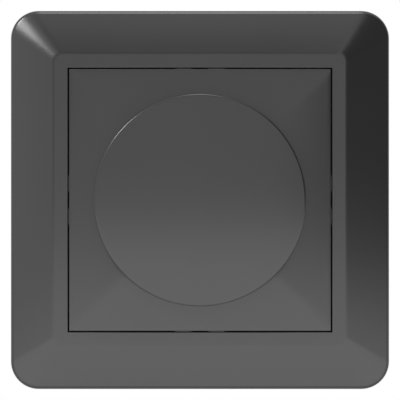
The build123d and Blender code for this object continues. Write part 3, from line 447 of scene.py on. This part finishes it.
def makeCoverFrame(size):
    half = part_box("cover_frame")[1].x / mm
    height, foot, start = size["height"], size["footRadius"], size["bevelStart"]
    rim, mouth, wall = size["rimSide"] / 2, size["opening"] / 2, size["wall"]
    slope = atan((height - start) / (half - rim))
    inner = half - wall
    shoulder = start + wall * tan(slope) - wall / cos(slope)
    ceiling = height - wall
    innerTop = inner - (ceiling - shoulder) / tan(slope)
    collar = mouth + size["collarWall"]
    sharp, corner, rimCorner = size["openingCornerRadius"], size["cornerRadius"], size["rimCornerRadius"]
    crown = []                                 # the band is very slightly swollen
    for k in range(1, size["bevelSteps"]):
        share = k / size["bevelSteps"]
        swell = 4 * size["bevelCrown"] * share * (1 - share)
        crown.append((
            half + (rim - half) * share + swell * sin(slope),
            start + (height - start) * share + swell * cos(slope),
            corner + (rimCorner - corner) * share, 0,
        ))
    profile = [
        (half, 0, corner, foot),
        (half, start, corner, size["shoulderRadius"]),
        *crown,
        (rim, height, rimCorner, size["rimFillet"]),
        (mouth, height, sharp, size["mouthRadius"]),
        (mouth, size["collarBottom"], sharp, 0),
        (collar, size["collarBottom"], sharp, 0),
        (collar, ceiling, sharp, 0),
        (innerTop, ceiling, size["innerCornerRadius"], 0),
        (inner, shoulder, corner - wall, 0),
        (inner, 0, corner - wall, foot),
    ]
    shells = bmesh.new()
    addLoops(shells, [roundedSquare(*point) for point in filleted(profile)])
    rooted, roofRooted = size["rooted"], size["roofRooted"]
    ribRoot = mouth + size["collarWall"] / 2
    for quarter in range(4):
        turn = Matrix.Rotation(quarter * pi / 2, 3, "Y")
        for middle in (-size["tabSpacing"] / 2, size["tabSpacing"] / 2):
            low, high = middle - size["tabLength"] / 2, middle + size["tabLength"] / 2
            tip, top = mouth - size["tabReach"], height - size["tabSetback"]
            outline = [(tip, low), (mouth + rooted, low), (mouth + rooted, high), (tip, high)]
            points = [turn @ Vector((x, -top, z)) * mm for x, z in outline]
            addPrism(shells, points, (0, size["tabDepth"] * mm, 0))
        for middle in (-size["ribSpacing"] / 2, size["ribSpacing"] / 2):
            outline = [
                (ribRoot, size["collarBottom"] + rooted), (inner + rooted, size["ribBottom"]),
                (inner + rooted, shoulder + roofRooted), (innerTop, ceiling + roofRooted),
                (ribRoot, ceiling + roofRooted),
            ]
            flank = middle - size["ribWidth"] / 2
            points = [turn @ Vector((x, -y, flank)) * mm for x, y in outline]
            addPrism(shells, points, turn @ Vector((0, 0, size["ribWidth"] * mm)))

    def inGap(place):
        inside = max(abs(place.x), abs(place.z)) < mouth + size["gapSlack"]
        return inside and place.y > 2 * size["mouthRadius"] - height

    finishPiece("frame_moulding", meshFrom("frame_moulding", shells), "base", "anthracite_plastic",
                "cover_frame", second="anthracite_pc_abs_spark_eroded", isSecond=inGap)


makeCoverFrame(coverFrame)
print("cover frame made")


# Centre plate: two low vaults that cross, with a round well for the dial
centrePlate = {
    "side": 55.1, "edgeHeight": 9.2, "crown": 1.0, "creaseSoftness": 0.02, "edgeRadius": 0.1,
    "wellRadius": 21.9, "wellWall": 1.4, "wellEdgeRadius": 0.15, "floorTop": 4.6, "holeRadius": 5.1,
    "skirtWall": 1.4, "roofHeight": 7.6, "bottom": 3.0, "flangeTop": 4.0, "flangeHalf": 29.2,
    "segments": 256, "faceRings": 16, "edgeSteps": 5, "crease": 20,
}


def makeCentrePlate(size):
    half, edge, well = size["side"] / 2, size["edgeRadius"], size["wellRadius"]
    wellEdge, edgeHeight, steps = size["wellEdgeRadius"], size["edgeHeight"], size["edgeSteps"]
    vaultRadius = (half ** 2 + size["crown"] ** 2) / (2 * size["crown"])
    angles = equalAngles(size["segments"])

    def arch(across):
        return edgeHeight + size["crown"] - (vaultRadius - sqrt(vaultRadius ** 2 - across ** 2))

    def vault(reach, angle):
        # the lower of the two arches, with the crease between them just softened
        arches, soft = (arch(reach * cos(angle)), arch(reach * sin(angle))), size["creaseSoftness"]
        low = min(arches)
        return low - soft * log(sum(exp((low - each) / soft) for each in arches))

    def squared(reach, angle):
        # how far away a square's side is in this direction
        return reach / max(abs(cos(angle)), abs(sin(angle)))

    def circle(reach, height):
        return [roundAxis(reach, height, t) for t in angles]

    def square(reach, height):
        return [roundAxis(squared(reach, t), height, t) for t in angles]

    face, start = half - edge, well + wellEdge
    loops = []
    for k in range(size["faceRings"] + 1):
        share = k / size["faceRings"]
        reaches = [start + (squared(face, t) - start) * share for t in angles]
        loops.append([roundAxis(reach, vault(reach, t), t) for reach, t in zip(reaches, angles)])
    for k in range(1, steps + 1):              # rounded outer edge
        turn = pi / 2 * k / steps
        reach, drop = face + edge * sin(turn), edge * (1 - cos(turn))
        loops.append([roundAxis(squared(reach, t), vault(squared(face, t), t) - drop, t) for t in angles])
    skirt, outerWell = half - size["skirtWall"], well + size["wellWall"]
    loops += [
        square(half, edgeHeight - 2 * edge), square(half, size["flangeTop"]),
        square(size["flangeHalf"], size["flangeTop"]), square(size["flangeHalf"], size["bottom"]),
        square(skirt, size["bottom"]), square(skirt, size["roofHeight"]),
        circle(outerWell, size["roofHeight"]), circle(outerWell, size["bottom"]),
        circle(size["holeRadius"], size["bottom"]), circle(size["holeRadius"], size["floorTop"]),
        circle(well, size["floorTop"]), circle(well, edgeHeight),
    ]
    for k in range(1, steps):                  # rounded edge of the well
        turn = pi / 2 * k / steps
        reach, drop = well + wellEdge * (1 - cos(turn)), wellEdge * (1 - sin(turn))
        loops.append([roundAxis(reach, vault(reach, t) - drop, t) for t in angles])
    shells = bmesh.new()
    addLoops(shells, loops)

    def belowEdge(place):
        return place.y > 2 * edge - edgeHeight

    finishPiece("plate_moulding", meshFrom("plate_moulding", shells, size["crease"]), "base",
                "anthracite_plastic", "centre_plate", second="anthracite_pc_abs_spark_eroded",
                isSecond=belowEdge)


makeCentrePlate(centrePlate)
print("centre plate made")


# Geometry Nodes: trees built here, their inputs set by socket identifier

def newTree(name, inputs):
    tree = bpy.data.node_groups.new(name, "GeometryNodeTree")
    for inputName, kind in {"Geometry": "Geometry", **inputs}.items():
        tree.interface.new_socket(inputName, in_out="INPUT", socket_type="NodeSocket" + kind)
    tree.interface.new_socket("Geometry", in_out="OUTPUT", socket_type="NodeSocketGeometry")
    return tree, addNode(tree, "NodeGroupInput").outputs


def closeTree(tree, geometry, material):
    whole = addNode(tree, "GeometryNodeRealizeInstances", None, {"Geometry": geometry})
    finished = addNode(tree, "GeometryNodeSetMaterial", None, {"Geometry": whole, "Material": material})
    addNode(tree, "NodeGroupOutput", None, {"Geometry": finished})
    return tree


def runTree(tree, base, values):
    # evaluates the tree on the base mesh and returns a plain mesh
    holder = bpy.data.objects.new("holder", base)
    scene.collection.objects.link(holder)
    modifier = holder.modifiers.new("tree", "NODES")
    modifier.node_group = tree
    names = {item.name: item.identifier for item in tree.interface.items_tree if item.in_out == "INPUT"}
    for name, value in values.items():
        modifier[names[name]] = value
    evaluated = holder.evaluated_get(bpy.context.evaluated_depsgraph_get())
    mesh = bpy.data.meshes.new_from_object(evaluated)
    holder.modifiers.clear()
    bpy.data.objects.remove(holder)
    return mesh


def makeTurnedTree():
    # turns a profile, a row of points in the XY plane, round the Y axis, and adds ribs like spokes
    tree, given = newTree("turned_cap", {
        "Points": "Int", "Segments": "Int", "Rib Count": "Int", "Rib Size": "Vector",
        "Rib Radius": "Float", "Rib Height": "Float", "Material": "Material",
    })
    points, segments = given["Points"], given["Segments"]
    rows = addNode(tree, "ShaderNodeMath", {"operation": "SUBTRACT"}, {0: points, 1: 1.0})
    around = addNode(tree, "ShaderNodeMath", {"operation": "ADD"}, {0: segments, 1: 1.0})
    # a grid with a row for each point of the profile, a unit apart, so that its places are counts
    grid = addNode(tree, "GeometryNodeMeshGrid", None,
                   {"Size X": rows, "Size Y": segments, "Vertices X": points, "Vertices Y": around})
    place = addNode(tree, "GeometryNodeInputPosition")
    parts = addNode(tree, "ShaderNodeSeparateXYZ", None, {"Vector": place}).outputs
    row = addNode(tree, "ShaderNodeMath", {"operation": "MULTIPLY_ADD"},
                  {0: rows, 1: 0.5, 2: parts["X"]})
    row = addNode(tree, "ShaderNodeMath", {"operation": "ROUND"}, {0: row})
    step = addNode(tree, "ShaderNodeMath", {"operation": "MULTIPLY_ADD"},
                   {0: segments, 1: 0.5, 2: parts["Y"]})
    step = addNode(tree, "ShaderNodeMath", {"operation": "ROUND"}, {0: step})
    profile = addNode(tree, "GeometryNodeSampleIndex", {"data_type": "FLOAT_VECTOR"},
                      {"Geometry": given["Geometry"], "Value": place, "Index": row})
    angle = addNode(tree, "ShaderNodeMath", {"operation": "MULTIPLY"}, {0: step, 1: -2 * pi})
    angle = addNode(tree, "ShaderNodeMath", {"operation": "DIVIDE"}, {0: angle, 1: segments})
    turned = addNode(tree, "ShaderNodeVectorRotate", {"rotation_type": "Y_AXIS"},
                     {"Vector": profile, "Angle": angle})
    cap = addNode(tree, "GeometryNodeSetPosition", None, {"Geometry": grid, "Position": turned})
    cap = addNode(tree, "GeometryNodeMergeByDistance", None,
                  {"Geometry": cap, "Distance": merging["turned"]})
    # ribs: a box on each corner of a polygon, turned with it, all laid round the Y axis
    rib = addNode(tree, "GeometryNodeMeshCube", None, {"Size": given["Rib Size"]})
    ring = addNode(tree, "GeometryNodeMeshCircle", None,
                   {"Vertices": given["Rib Count"], "Radius": given["Rib Radius"]})
    index = addNode(tree, "GeometryNodeInputIndex")
    spin = addNode(tree, "ShaderNodeMath", {"operation": "MULTIPLY"}, {0: index, 1: 2 * pi})
    spin = addNode(tree, "ShaderNodeMath", {"operation": "DIVIDE"}, {0: spin, 1: given["Rib Count"]})
    spin = addNode(tree, "ShaderNodeCombineXYZ", None, {"Z": spin})
    ribs = addNode(tree, "GeometryNodeInstanceOnPoints", None,
                   {"Points": ring, "Instance": rib, "Rotation": spin})
    lift = addNode(tree, "ShaderNodeCombineXYZ", None, {"Y": given["Rib Height"]})
    ribs = addNode(tree, "GeometryNodeTransform", None,
                   {"Geometry": ribs, "Translation": lift, "Rotation": (pi / 2, 0, 0)})
    both = addNode(tree, "GeometryNodeJoinGeometry", None, {"Geometry": cap})
    tree.links.new(ribs.outputs[0], both.inputs[0])
    return closeTree(tree, both, given["Material"])


# Dial: a turned cap with a low dome; its skirt dips into the well, its hub takes the flatted shaft
dialCap = {
    "radius": 22.2, "top": 16.0, "dome": 0.7, "edgeRadius": 0.4, "under": 10.9, "underRadius": 0.15,
    "skirtRadius": 21.6, "skirtInner": 20.2, "skirtBottom": 6.6, "skirtFootRadius": 0.2, "ceiling": 14.2,
    "hubRadius": 5.0, "hubBottom": 9.5, "hubRooted": 0.4, "hubSegments": 96,
    "boreRadius": 3.05, "boreFlat": 1.55,
    "ribCount": 8, "ribWidth": 1.0, "ribHeight": 2.4, "ribInner": 6.2, "ribRooted": 0.5,
    "segments": 256, "domeRings": 24, "crease": 25,
}


def makeDial(size, tree):
    radius, top, ceiling, foot = size["radius"], size["top"], size["ceiling"], size["skirtFootRadius"]
    sphere = (radius ** 2 + size["dome"] ** 2) / (2 * size["dome"])
    corners = []
    for k in range(size["domeRings"]):
        reach = radius * k / size["domeRings"]
        corners.append((reach, top + size["dome"] - sphere + sqrt(sphere ** 2 - reach ** 2), 0))
    corners += [
        (radius, top, size["edgeRadius"]), (radius, size["under"], size["underRadius"]),
        (size["skirtRadius"], size["under"], 0), (size["skirtRadius"], size["skirtBottom"], foot),
        (size["skirtInner"], size["skirtBottom"], foot), (size["skirtInner"], ceiling, 0), (0, ceiling, 0),
    ]
    points = filleted(corners, closed=False)
    profile = bpy.data.meshes.new("profile")
    profile.from_pydata([roundAxis(reach, height, 0) for reach, height in points], [], [])
    ribOuter, ribDepth = size["skirtInner"] + size["ribRooted"], size["ribHeight"] + size["ribRooted"]
    cap = runTree(tree, profile, {
        "Points": len(points), "Segments": size["segments"], "Rib Count": size["ribCount"],
        "Rib Size": ((ribOuter - size["ribInner"]) * mm, size["ribWidth"] * mm, ribDepth * mm),
        "Rib Radius": (ribOuter + size["ribInner"]) / 2 * mm,
        "Rib Height": (ribDepth / 2 - ceiling - size["ribRooted"]) * mm,
        "Material": materials[slotFinish["anthracite_plastic"]],
    })
    shells = bmesh.new()
    shells.from_mesh(cap)
    angles = equalAngles(size["hubSegments"])
    root, bottom, bore = ceiling + size["hubRooted"], size["hubBottom"], size["boreRadius"]

    def circle(reach, height):
        return [roundAxis(reach, height, t) for t in angles]

    def flatted(height):
        # the bore, with the flat side that turns the shaft
        reaches = [min(bore, size["boreFlat"] / sin(t)) if sin(t) > 0 else bore for t in angles]
        return [roundAxis(reach, height, t) for reach, t in zip(reaches, angles)]

    addLoops(shells, [circle(size["hubRadius"], root), circle(size["hubRadius"], bottom),
                      flatted(bottom), flatted(root)])
    finishPiece("dial_cap", meshFrom("dial_cap", shells, size["crease"]), "knob", "anthracite_plastic",
                "dial")


makeDial(dialCap, makeTurnedTree())
print("dial made")


# Claw screws: rolled threads, as a helical surface whose radius rises and falls with the pitch
def makeThreadTree():
    tree, given = newTree("rolled_thread", {
        "Length": "Float", "Pitch": "Float", "Core Radius": "Float", "Thread Depth": "Float",
        "Point Length": "Float", "Point Share": "Float", "Rows": "Int", "Segments": "Int",
        "Material": "Material",
    })
    length = given["Length"]
    around = addNode(tree, "ShaderNodeMath", {"operation": "ADD"}, {0: given["Segments"], 1: 1.0})
    # a grid that lies along the screw, and from -0.5 to 0.5 round it
    grid = addNode(tree, "GeometryNodeMeshGrid", None,
                   {"Size X": length, "Size Y": 1.0, "Vertices X": given["Rows"], "Vertices Y": around})
    place = addNode(tree, "GeometryNodeInputPosition")
    parts = addNode(tree, "ShaderNodeSeparateXYZ", None, {"Vector": place}).outputs
    along = addNode(tree, "ShaderNodeMath", {"operation": "MULTIPLY_ADD"},
                    {0: length, 1: 0.5, 2: parts["X"]})
    turn = addNode(tree, "ShaderNodeMath", {"operation": "ADD"}, {0: parts["Y"], 1: 0.5})
    # the ridge rises and falls once in a pitch, and moves on by a pitch with each turn
    pitches = addNode(tree, "ShaderNodeMath", {"operation": "DIVIDE"}, {0: along, 1: given["Pitch"]})
    phase = addNode(tree, "ShaderNodeMath", {"operation": "SUBTRACT"}, {0: pitches, 1: turn})
    wave = addNode(tree, "ShaderNodeMath", {"operation": "PINGPONG"}, {0: phase, 1: 0.5})
    ridge = addNode(tree, "ShaderNodeMapRange", None,
                    {"Value": wave, "From Max": 0.5, "To Max": given["Thread Depth"]})
    # towards its end the rod narrows to a point and the ridge runs out
    left = addNode(tree, "ShaderNodeMath", {"operation": "SUBTRACT"}, {0: length, 1: along})
    full = addNode(tree, "ShaderNodeMath", {"operation": "DIVIDE", "use_clamp": True},
                   {0: left, 1: given["Point Length"]})
    share = addNode(tree, "ShaderNodeMapRange", None,
                    {"Value": full, "To Min": given["Point Share"], "To Max": 1.0})
    core = addNode(tree, "ShaderNodeMath", {"operation": "MULTIPLY"}, {0: given["Core Radius"], 1: share})
    radius = addNode(tree, "ShaderNodeMath", {"operation": "MULTIPLY_ADD"}, {0: ridge, 1: full, 2: core})
    flat = addNode(tree, "ShaderNodeCombineXYZ", None, {"X": radius, "Y": along})
    angle = addNode(tree, "ShaderNodeMath", {"operation": "MULTIPLY"}, {0: turn, 1: -2 * pi})
    turned = addNode(tree, "ShaderNodeVectorRotate", {"rotation_type": "Y_AXIS"},
                     {"Vector": flat, "Angle": angle})
    rod = addNode(tree, "GeometryNodeSetPosition", None, {"Geometry": grid, "Position": turned})
    rod = addNode(tree, "GeometryNodeMergeByDistance", None,
                  {"Geometry": rod, "Distance": merging["made"]})
    return closeTree(tree, rod, given["Material"])


clawScrew = {
    "pitch": 0.45, "majorRadius": 1.25, "coreRadius": 1.0, "pointLength": 0.5, "pointShare": 0.6,
    "segments": 24, "rowsPerPitch": 6, "crease": 40,
    "ringThickness": 1.2, "underHead": 0.3, "headKept": 0.02,
}


def makeClawScrew(side, size, tree):
    node = f"claw_screw_{side}"
    low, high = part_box(node)
    headUnder = -size["ringThickness"] * mm
    start = headUnder - size["underHead"] * mm
    length = high.y - start
    rod = runTree(tree, bpy.data.meshes.new("empty"), {
        "Length": length, "Pitch": size["pitch"] * mm, "Core Radius": size["coreRadius"] * mm,
        "Thread Depth": (size["majorRadius"] - size["coreRadius"]) * mm,
        "Point Length": size["pointLength"] * mm, "Point Share": size["pointShare"],
        "Rows": int(length / mm / size["pitch"] * size["rowsPerPitch"]), "Segments": size["segments"],
        "Material": materials[slotFinish["bright_steel"]],
    })
    rod.transform(Matrix.Translation(((low.x + high.x) / 2, start, (low.z + high.z) / 2)))
    shells = bmesh.new()
    shells.from_mesh(rod)
    bmesh.ops.holes_fill(shells, edges=[edge for edge in shells.edges if edge.is_boundary], sides=0)
    # the head is a copy of the CAD node's own, cut off below the ring's face
    head = bmesh.new()
    head.from_mesh(frame["nodes"][node].data)
    bmesh.ops.remove_doubles(head, verts=head.verts, dist=merging["copied"])
    cut = headUnder + size["headKept"] * mm
    bmesh.ops.delete(head, geom=[vertex for vertex in head.verts if vertex.co.y > cut], context="VERTS")
    bmesh.ops.holes_fill(head, edges=[edge for edge in head.edges if edge.is_boundary], sides=0)
    headMesh = bpy.data.meshes.new("head")
    head.to_mesh(headMesh)
    head.free()
    shells.from_mesh(headMesh)
    finishPiece(f"threaded_claw_screw_{side}", meshFrom("claw_screw", shells, size["crease"]),
                f"screw_{side}", "bright_steel", node)


threadTree = makeThreadTree()
for side in ("left", "right"):
    makeClawScrew(side, clawScrew, threadTree)
print("claw screws made")


# Choke: enamelled wire wound round a coated ring core, one unbroken path that closes on itself
def makeWindingTree():
    tree, given = newTree("ring_winding", {
        "Ring Radius": "Float", "Half Width": "Float", "Half Depth": "Float", "Wire Radius": "Float",
        "Turns": "Int", "Steps": "Int", "Wire Sides": "Int", "Squareness": "Float",
        "Material": "Material",
    })
    count = addNode(tree, "ShaderNodeMath", {"operation": "MULTIPLY_ADD"},
                    {0: given["Turns"], 1: given["Steps"], 2: 1.0})
    line = addNode(tree, "GeometryNodeCurvePrimitiveLine")
    path = addNode(tree, "GeometryNodeResampleCurve", None, {"Curve": line, "Count": count})
    along = addNode(tree, "GeometryNodeSplineParameter").outputs["Factor"]
    angle = addNode(tree, "ShaderNodeMath", {"operation": "MULTIPLY"}, {0: along, 1: -2 * pi})
    wrap = addNode(tree, "ShaderNodeMath", {"operation": "MULTIPLY"}, {0: along, 1: 2 * pi})
    wrap = addNode(tree, "ShaderNodeMath", {"operation": "MULTIPLY"}, {0: wrap, 1: given["Turns"]})
    reaches = []
    for operation, half in (("COSINE", "Half Width"), ("SINE", "Half Depth")):
        # a power below one squares the turn's corners
        swing = addNode(tree, "ShaderNodeMath", {"operation": operation}, {0: wrap})
        bulged = addNode(tree, "ShaderNodeMath", {"operation": "ABSOLUTE"}, {0: swing})
        bulged = addNode(tree, "ShaderNodeMath", {"operation": "POWER"},
                         {0: bulged, 1: given["Squareness"]})
        side = addNode(tree, "ShaderNodeMath", {"operation": "SIGN"}, {0: swing})
        reach = addNode(tree, "ShaderNodeMath", {"operation": "MULTIPLY"}, {0: bulged, 1: side})
        reaches.append(addNode(tree, "ShaderNodeMath", {"operation": "MULTIPLY"},
                               {0: reach, 1: given[half]}))
    radius = addNode(tree, "ShaderNodeMath", {"operation": "ADD"}, {0: given["Ring Radius"], 1: reaches[0]})
    flat = addNode(tree, "ShaderNodeCombineXYZ", None, {"X": radius, "Y": reaches[1]})
    turned = addNode(tree, "ShaderNodeVectorRotate", {"rotation_type": "Y_AXIS"},
                     {"Vector": flat, "Angle": angle})
    path = addNode(tree, "GeometryNodeSetPosition", None, {"Geometry": path, "Position": turned})
    section = addNode(tree, "GeometryNodeCurvePrimitiveCircle", None,
                      {"Resolution": given["Wire Sides"], "Radius": given["Wire Radius"]})
    wire = addNode(tree, "GeometryNodeCurveToMesh", None,
                   {"Curve": path, "Profile Curve": section, "Fill Caps": True})
    return closeTree(tree, wire, given["Material"])


choke = {
    "ringRadius": 5.4, "tubeHalf": 2.5, "wireRadius": 0.45, "turns": 20, "steps": 24, "wireSides": 10,
    "squareness": 0.5, "coreFillet": 0.8, "coreSegments": 80, "crease": 60,
}


def makeChoke(size, tree):
    low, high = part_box("choke")
    ring, path = size["ringRadius"], size["tubeHalf"] - size["wireRadius"]
    winding = runTree(tree, bpy.data.meshes.new("empty"), {
        "Ring Radius": ring * mm, "Half Width": path * mm, "Half Depth": path * mm,
        "Wire Radius": size["wireRadius"] * mm, "Turns": size["turns"], "Steps": size["steps"],
        "Wire Sides": size["wireSides"], "Squareness": size["squareness"],
        "Material": materials[slotFinish["copper_winding"]],
    })
    shells = bmesh.new()
    shells.from_mesh(winding)
    wound = len(shells.faces)
    core = path - size["wireRadius"]
    corners = [(ring + core, core), (ring - core, core), (ring - core, -core), (ring + core, -core)]
    profile = filleted([(*corner, size["coreFillet"]) for corner in corners])
    angles = equalAngles(size["coreSegments"])
    addLoops(shells, [[roundAxis(reach, height, t) for t in angles] for reach, height in profile])
    shells.faces.ensure_lookup_table()
    for face in shells.faces[wound:]:
        face.material_index = 1
    bmesh.ops.translate(shells, verts=shells.verts, vec=(low + high) / 2)
    finishPiece("wound_choke", meshFrom("wound_choke", shells, size["crease"]), "base", "copper_winding",
                "choke", second="ochre_epoxy_powder_coated")


makeChoke(choke, makeWindingTree())
print("choke made")


# Floor, lamps and the white surroundings, in metres
stage = {
    "ambient": 0.55,
    "floor": {"height": -0.055, "radius": 0.22, "fadeFrom": 0.11, "segments": 128, "colour": "#E9E9E9",
              "roughness": 0.9},
    # Cards that only mirror in the gloss. Each is turned about Z, and its corners are across and up.
    "cards": {
        "low panel": {
            "azimuth": 0, "distance": 0.3, "tone": 1.98,
            "corners": ((-0.45, -0.417), (0.45, -0.417), (0.45, -0.052), (0.12, -0.017), (-0.12, -0.017),
                        (-0.45, -0.062)),
        },
        "left panel": {
            "azimuth": -64, "distance": 0.4, "tone": 1.22,
            "corners": ((-0.14, -0.02), (0.13, -0.02), (0.13, 0.2), (-0.14, 0.2)),
        },
        "glint panel": {                       # small and bright, for the glints at the upper left
            "azimuth": -51.7, "distance": 0.6, "tone": 20,
            "corners": ((-0.1, 0.387), (0.03, 0.33), (0.1, 0.485), (-0.038, 0.589)),
        },
        "black flag": {                        # darkens the band on the right
            "azimuth": 37.5, "distance": 0.3, "tone": 0.05,
            "corners": ((-0.138, -0.024), (0.5, -0.024), (0.5, 0.45), (-0.09, 0.45), (-0.09, 0.25),
                        (-0.085, 0.1), (-0.132, 0.03)),
        },
        "grey flag above": {
            "azimuth": 0, "distance": 0.3, "tone": 0.52,
            "corners": ((-0.12, 0.1), (0.05, 0.1), (0.05, 0.3), (-0.12, 0.3)),
        },
        "grey flag beside": {
            "azimuth": -22, "distance": 0.31, "tone": 0.55,
            "corners": ((-0.05, -0.015), (0.03, -0.015), (0.03, 0.1), (-0.05, 0.1)),
        },
    },
    "lamps": {
        "strip light": {"place": (0, -0.275, 0.752), "size": (0.22, 0.33), "watts": 1.05},
        "key light": {"place": (-0.434, -0.556, 0.378), "size": (0.17, 0.17), "watts": 0.85},
        "fill light": {"place": (0, -1.2, 0.15), "size": (0.8, 0.8), "watts": 3.4, "glossy": False},
    },
}


def makeWorld(ambient):
    # white for the camera and in reflections, dimmer where it lights the object
    world = bpy.data.worlds.new("studio")
    world.use_nodes = True
    scene.world = world
    tree = world.node_tree
    tree.nodes.clear()
    path = addNode(tree, "ShaderNodeLightPath").outputs
    seen = path["Is Camera Ray"]
    for ray in ("Is Glossy Ray", "Is Transmission Ray"):
        seen = addNode(tree, "ShaderNodeMath", {"operation": "MAXIMUM"}, {0: seen, 1: path[ray]})
    strength = addNode(tree, "ShaderNodeMapRange", None, {"Value": seen, "To Min": ambient, "To Max": 1.0})
    back = addNode(tree, "ShaderNodeBackground", None, {"Color": (1, 1, 1, 1), "Strength": strength})
    addNode(tree, "ShaderNodeOutputWorld", None, {"Surface": back})


def makeFloor(look):
    # a pale round floor that fades out into the white, and is open where it is seen from below
    shells = bmesh.new()
    bmesh.ops.create_circle(shells, cap_ends=True, radius=look["radius"], segments=look["segments"])
    mesh = bpy.data.meshes.new("floor")
    shells.to_mesh(mesh)
    shells.free()
    mesh.transform(Matrix.Translation((0, 0, look["height"])))
    material, tree = newMaterial("floor_paint_matt")       # an even pale coat that takes no gleam
    place = addNode(tree, "ShaderNodeTexCoord").outputs["Object"]
    away = addNode(tree, "ShaderNodeVectorMath", {"operation": "DISTANCE"},
                   {0: place, 1: (0, 0, look["height"])})
    fade = addNode(tree, "ShaderNodeMapRange", {"interpolation_type": "SMOOTHSTEP"},
                   {"Value": away, "From Min": look["fadeFrom"], "From Max": look["radius"]})
    below = addNode(tree, "ShaderNodeNewGeometry").outputs["Backfacing"]
    clearness = addNode(tree, "ShaderNodeMath", {"operation": "MAXIMUM"}, {0: fade, 1: below})
    paint = addNode(tree, "ShaderNodeBsdfPrincipled", None,
                    {"Base Color": linear(look["colour"]), "Roughness": look["roughness"]})
    clear = addNode(tree, "ShaderNodeBsdfTransparent")
    mixed = addNode(tree, "ShaderNodeMixShader", None, {0: clearness, 1: paint, 2: clear})
    addNode(tree, "ShaderNodeOutputMaterial", None, {"Surface": mixed})
    mesh.materials.append(material)
    floor = bpy.data.objects.new("floor", mesh)
    scene.collection.objects.link(floor)
    floor.visible_glossy = False               # the low panel shines from below it
    floor.visible_shadow = False               # and the world lights the object from below too


def makeCard(name, look):
    mesh = bpy.data.meshes.new(name)
    corners = [(across, -look["distance"], up) for across, up in look["corners"]]
    mesh.from_pydata(corners, [], [range(len(corners))])
    mesh.transform(Matrix.Rotation(radians(look["azimuth"]), 4, "Z"))
    material, tree = newMaterial(name)         # lit card: one even tone
    glow = addNode(tree, "ShaderNodeEmission", None, {"Color": (look["tone"],) * 3 + (1,)})
    addNode(tree, "ShaderNodeOutputMaterial", None, {"Surface": glow})
    mesh.materials.append(material)
    card = bpy.data.objects.new(name, mesh)
    scene.collection.objects.link(card)
    card.visible_camera = False
    card.visible_shadow = False
    card.visible_diffuse = False


def makeLamp(name, look):
    lamp = bpy.data.lights.new(name, "AREA")
    lamp.shape = "RECTANGLE"
    lamp.size, lamp.size_y = look["size"]
    lamp.energy = look["watts"]
    holder = bpy.data.objects.new(name, lamp)
    place = Vector(look["place"])
    aim = (-place).to_track_quat("-Z", "Y").to_matrix().to_4x4()       # at the object's middle
    holder.matrix_world = Matrix.Translation(place) @ aim
    holder.visible_camera = False
    holder.visible_glossy = look.get("glossy", True)
    scene.collection.objects.link(holder)


makeWorld(stage["ambient"])
makeFloor(stage["floor"])
for name, look in stage["cards"].items():
    makeCard(name, look)
for name, look in stage["lamps"].items():
    makeLamp(name, look)
print("stage set")
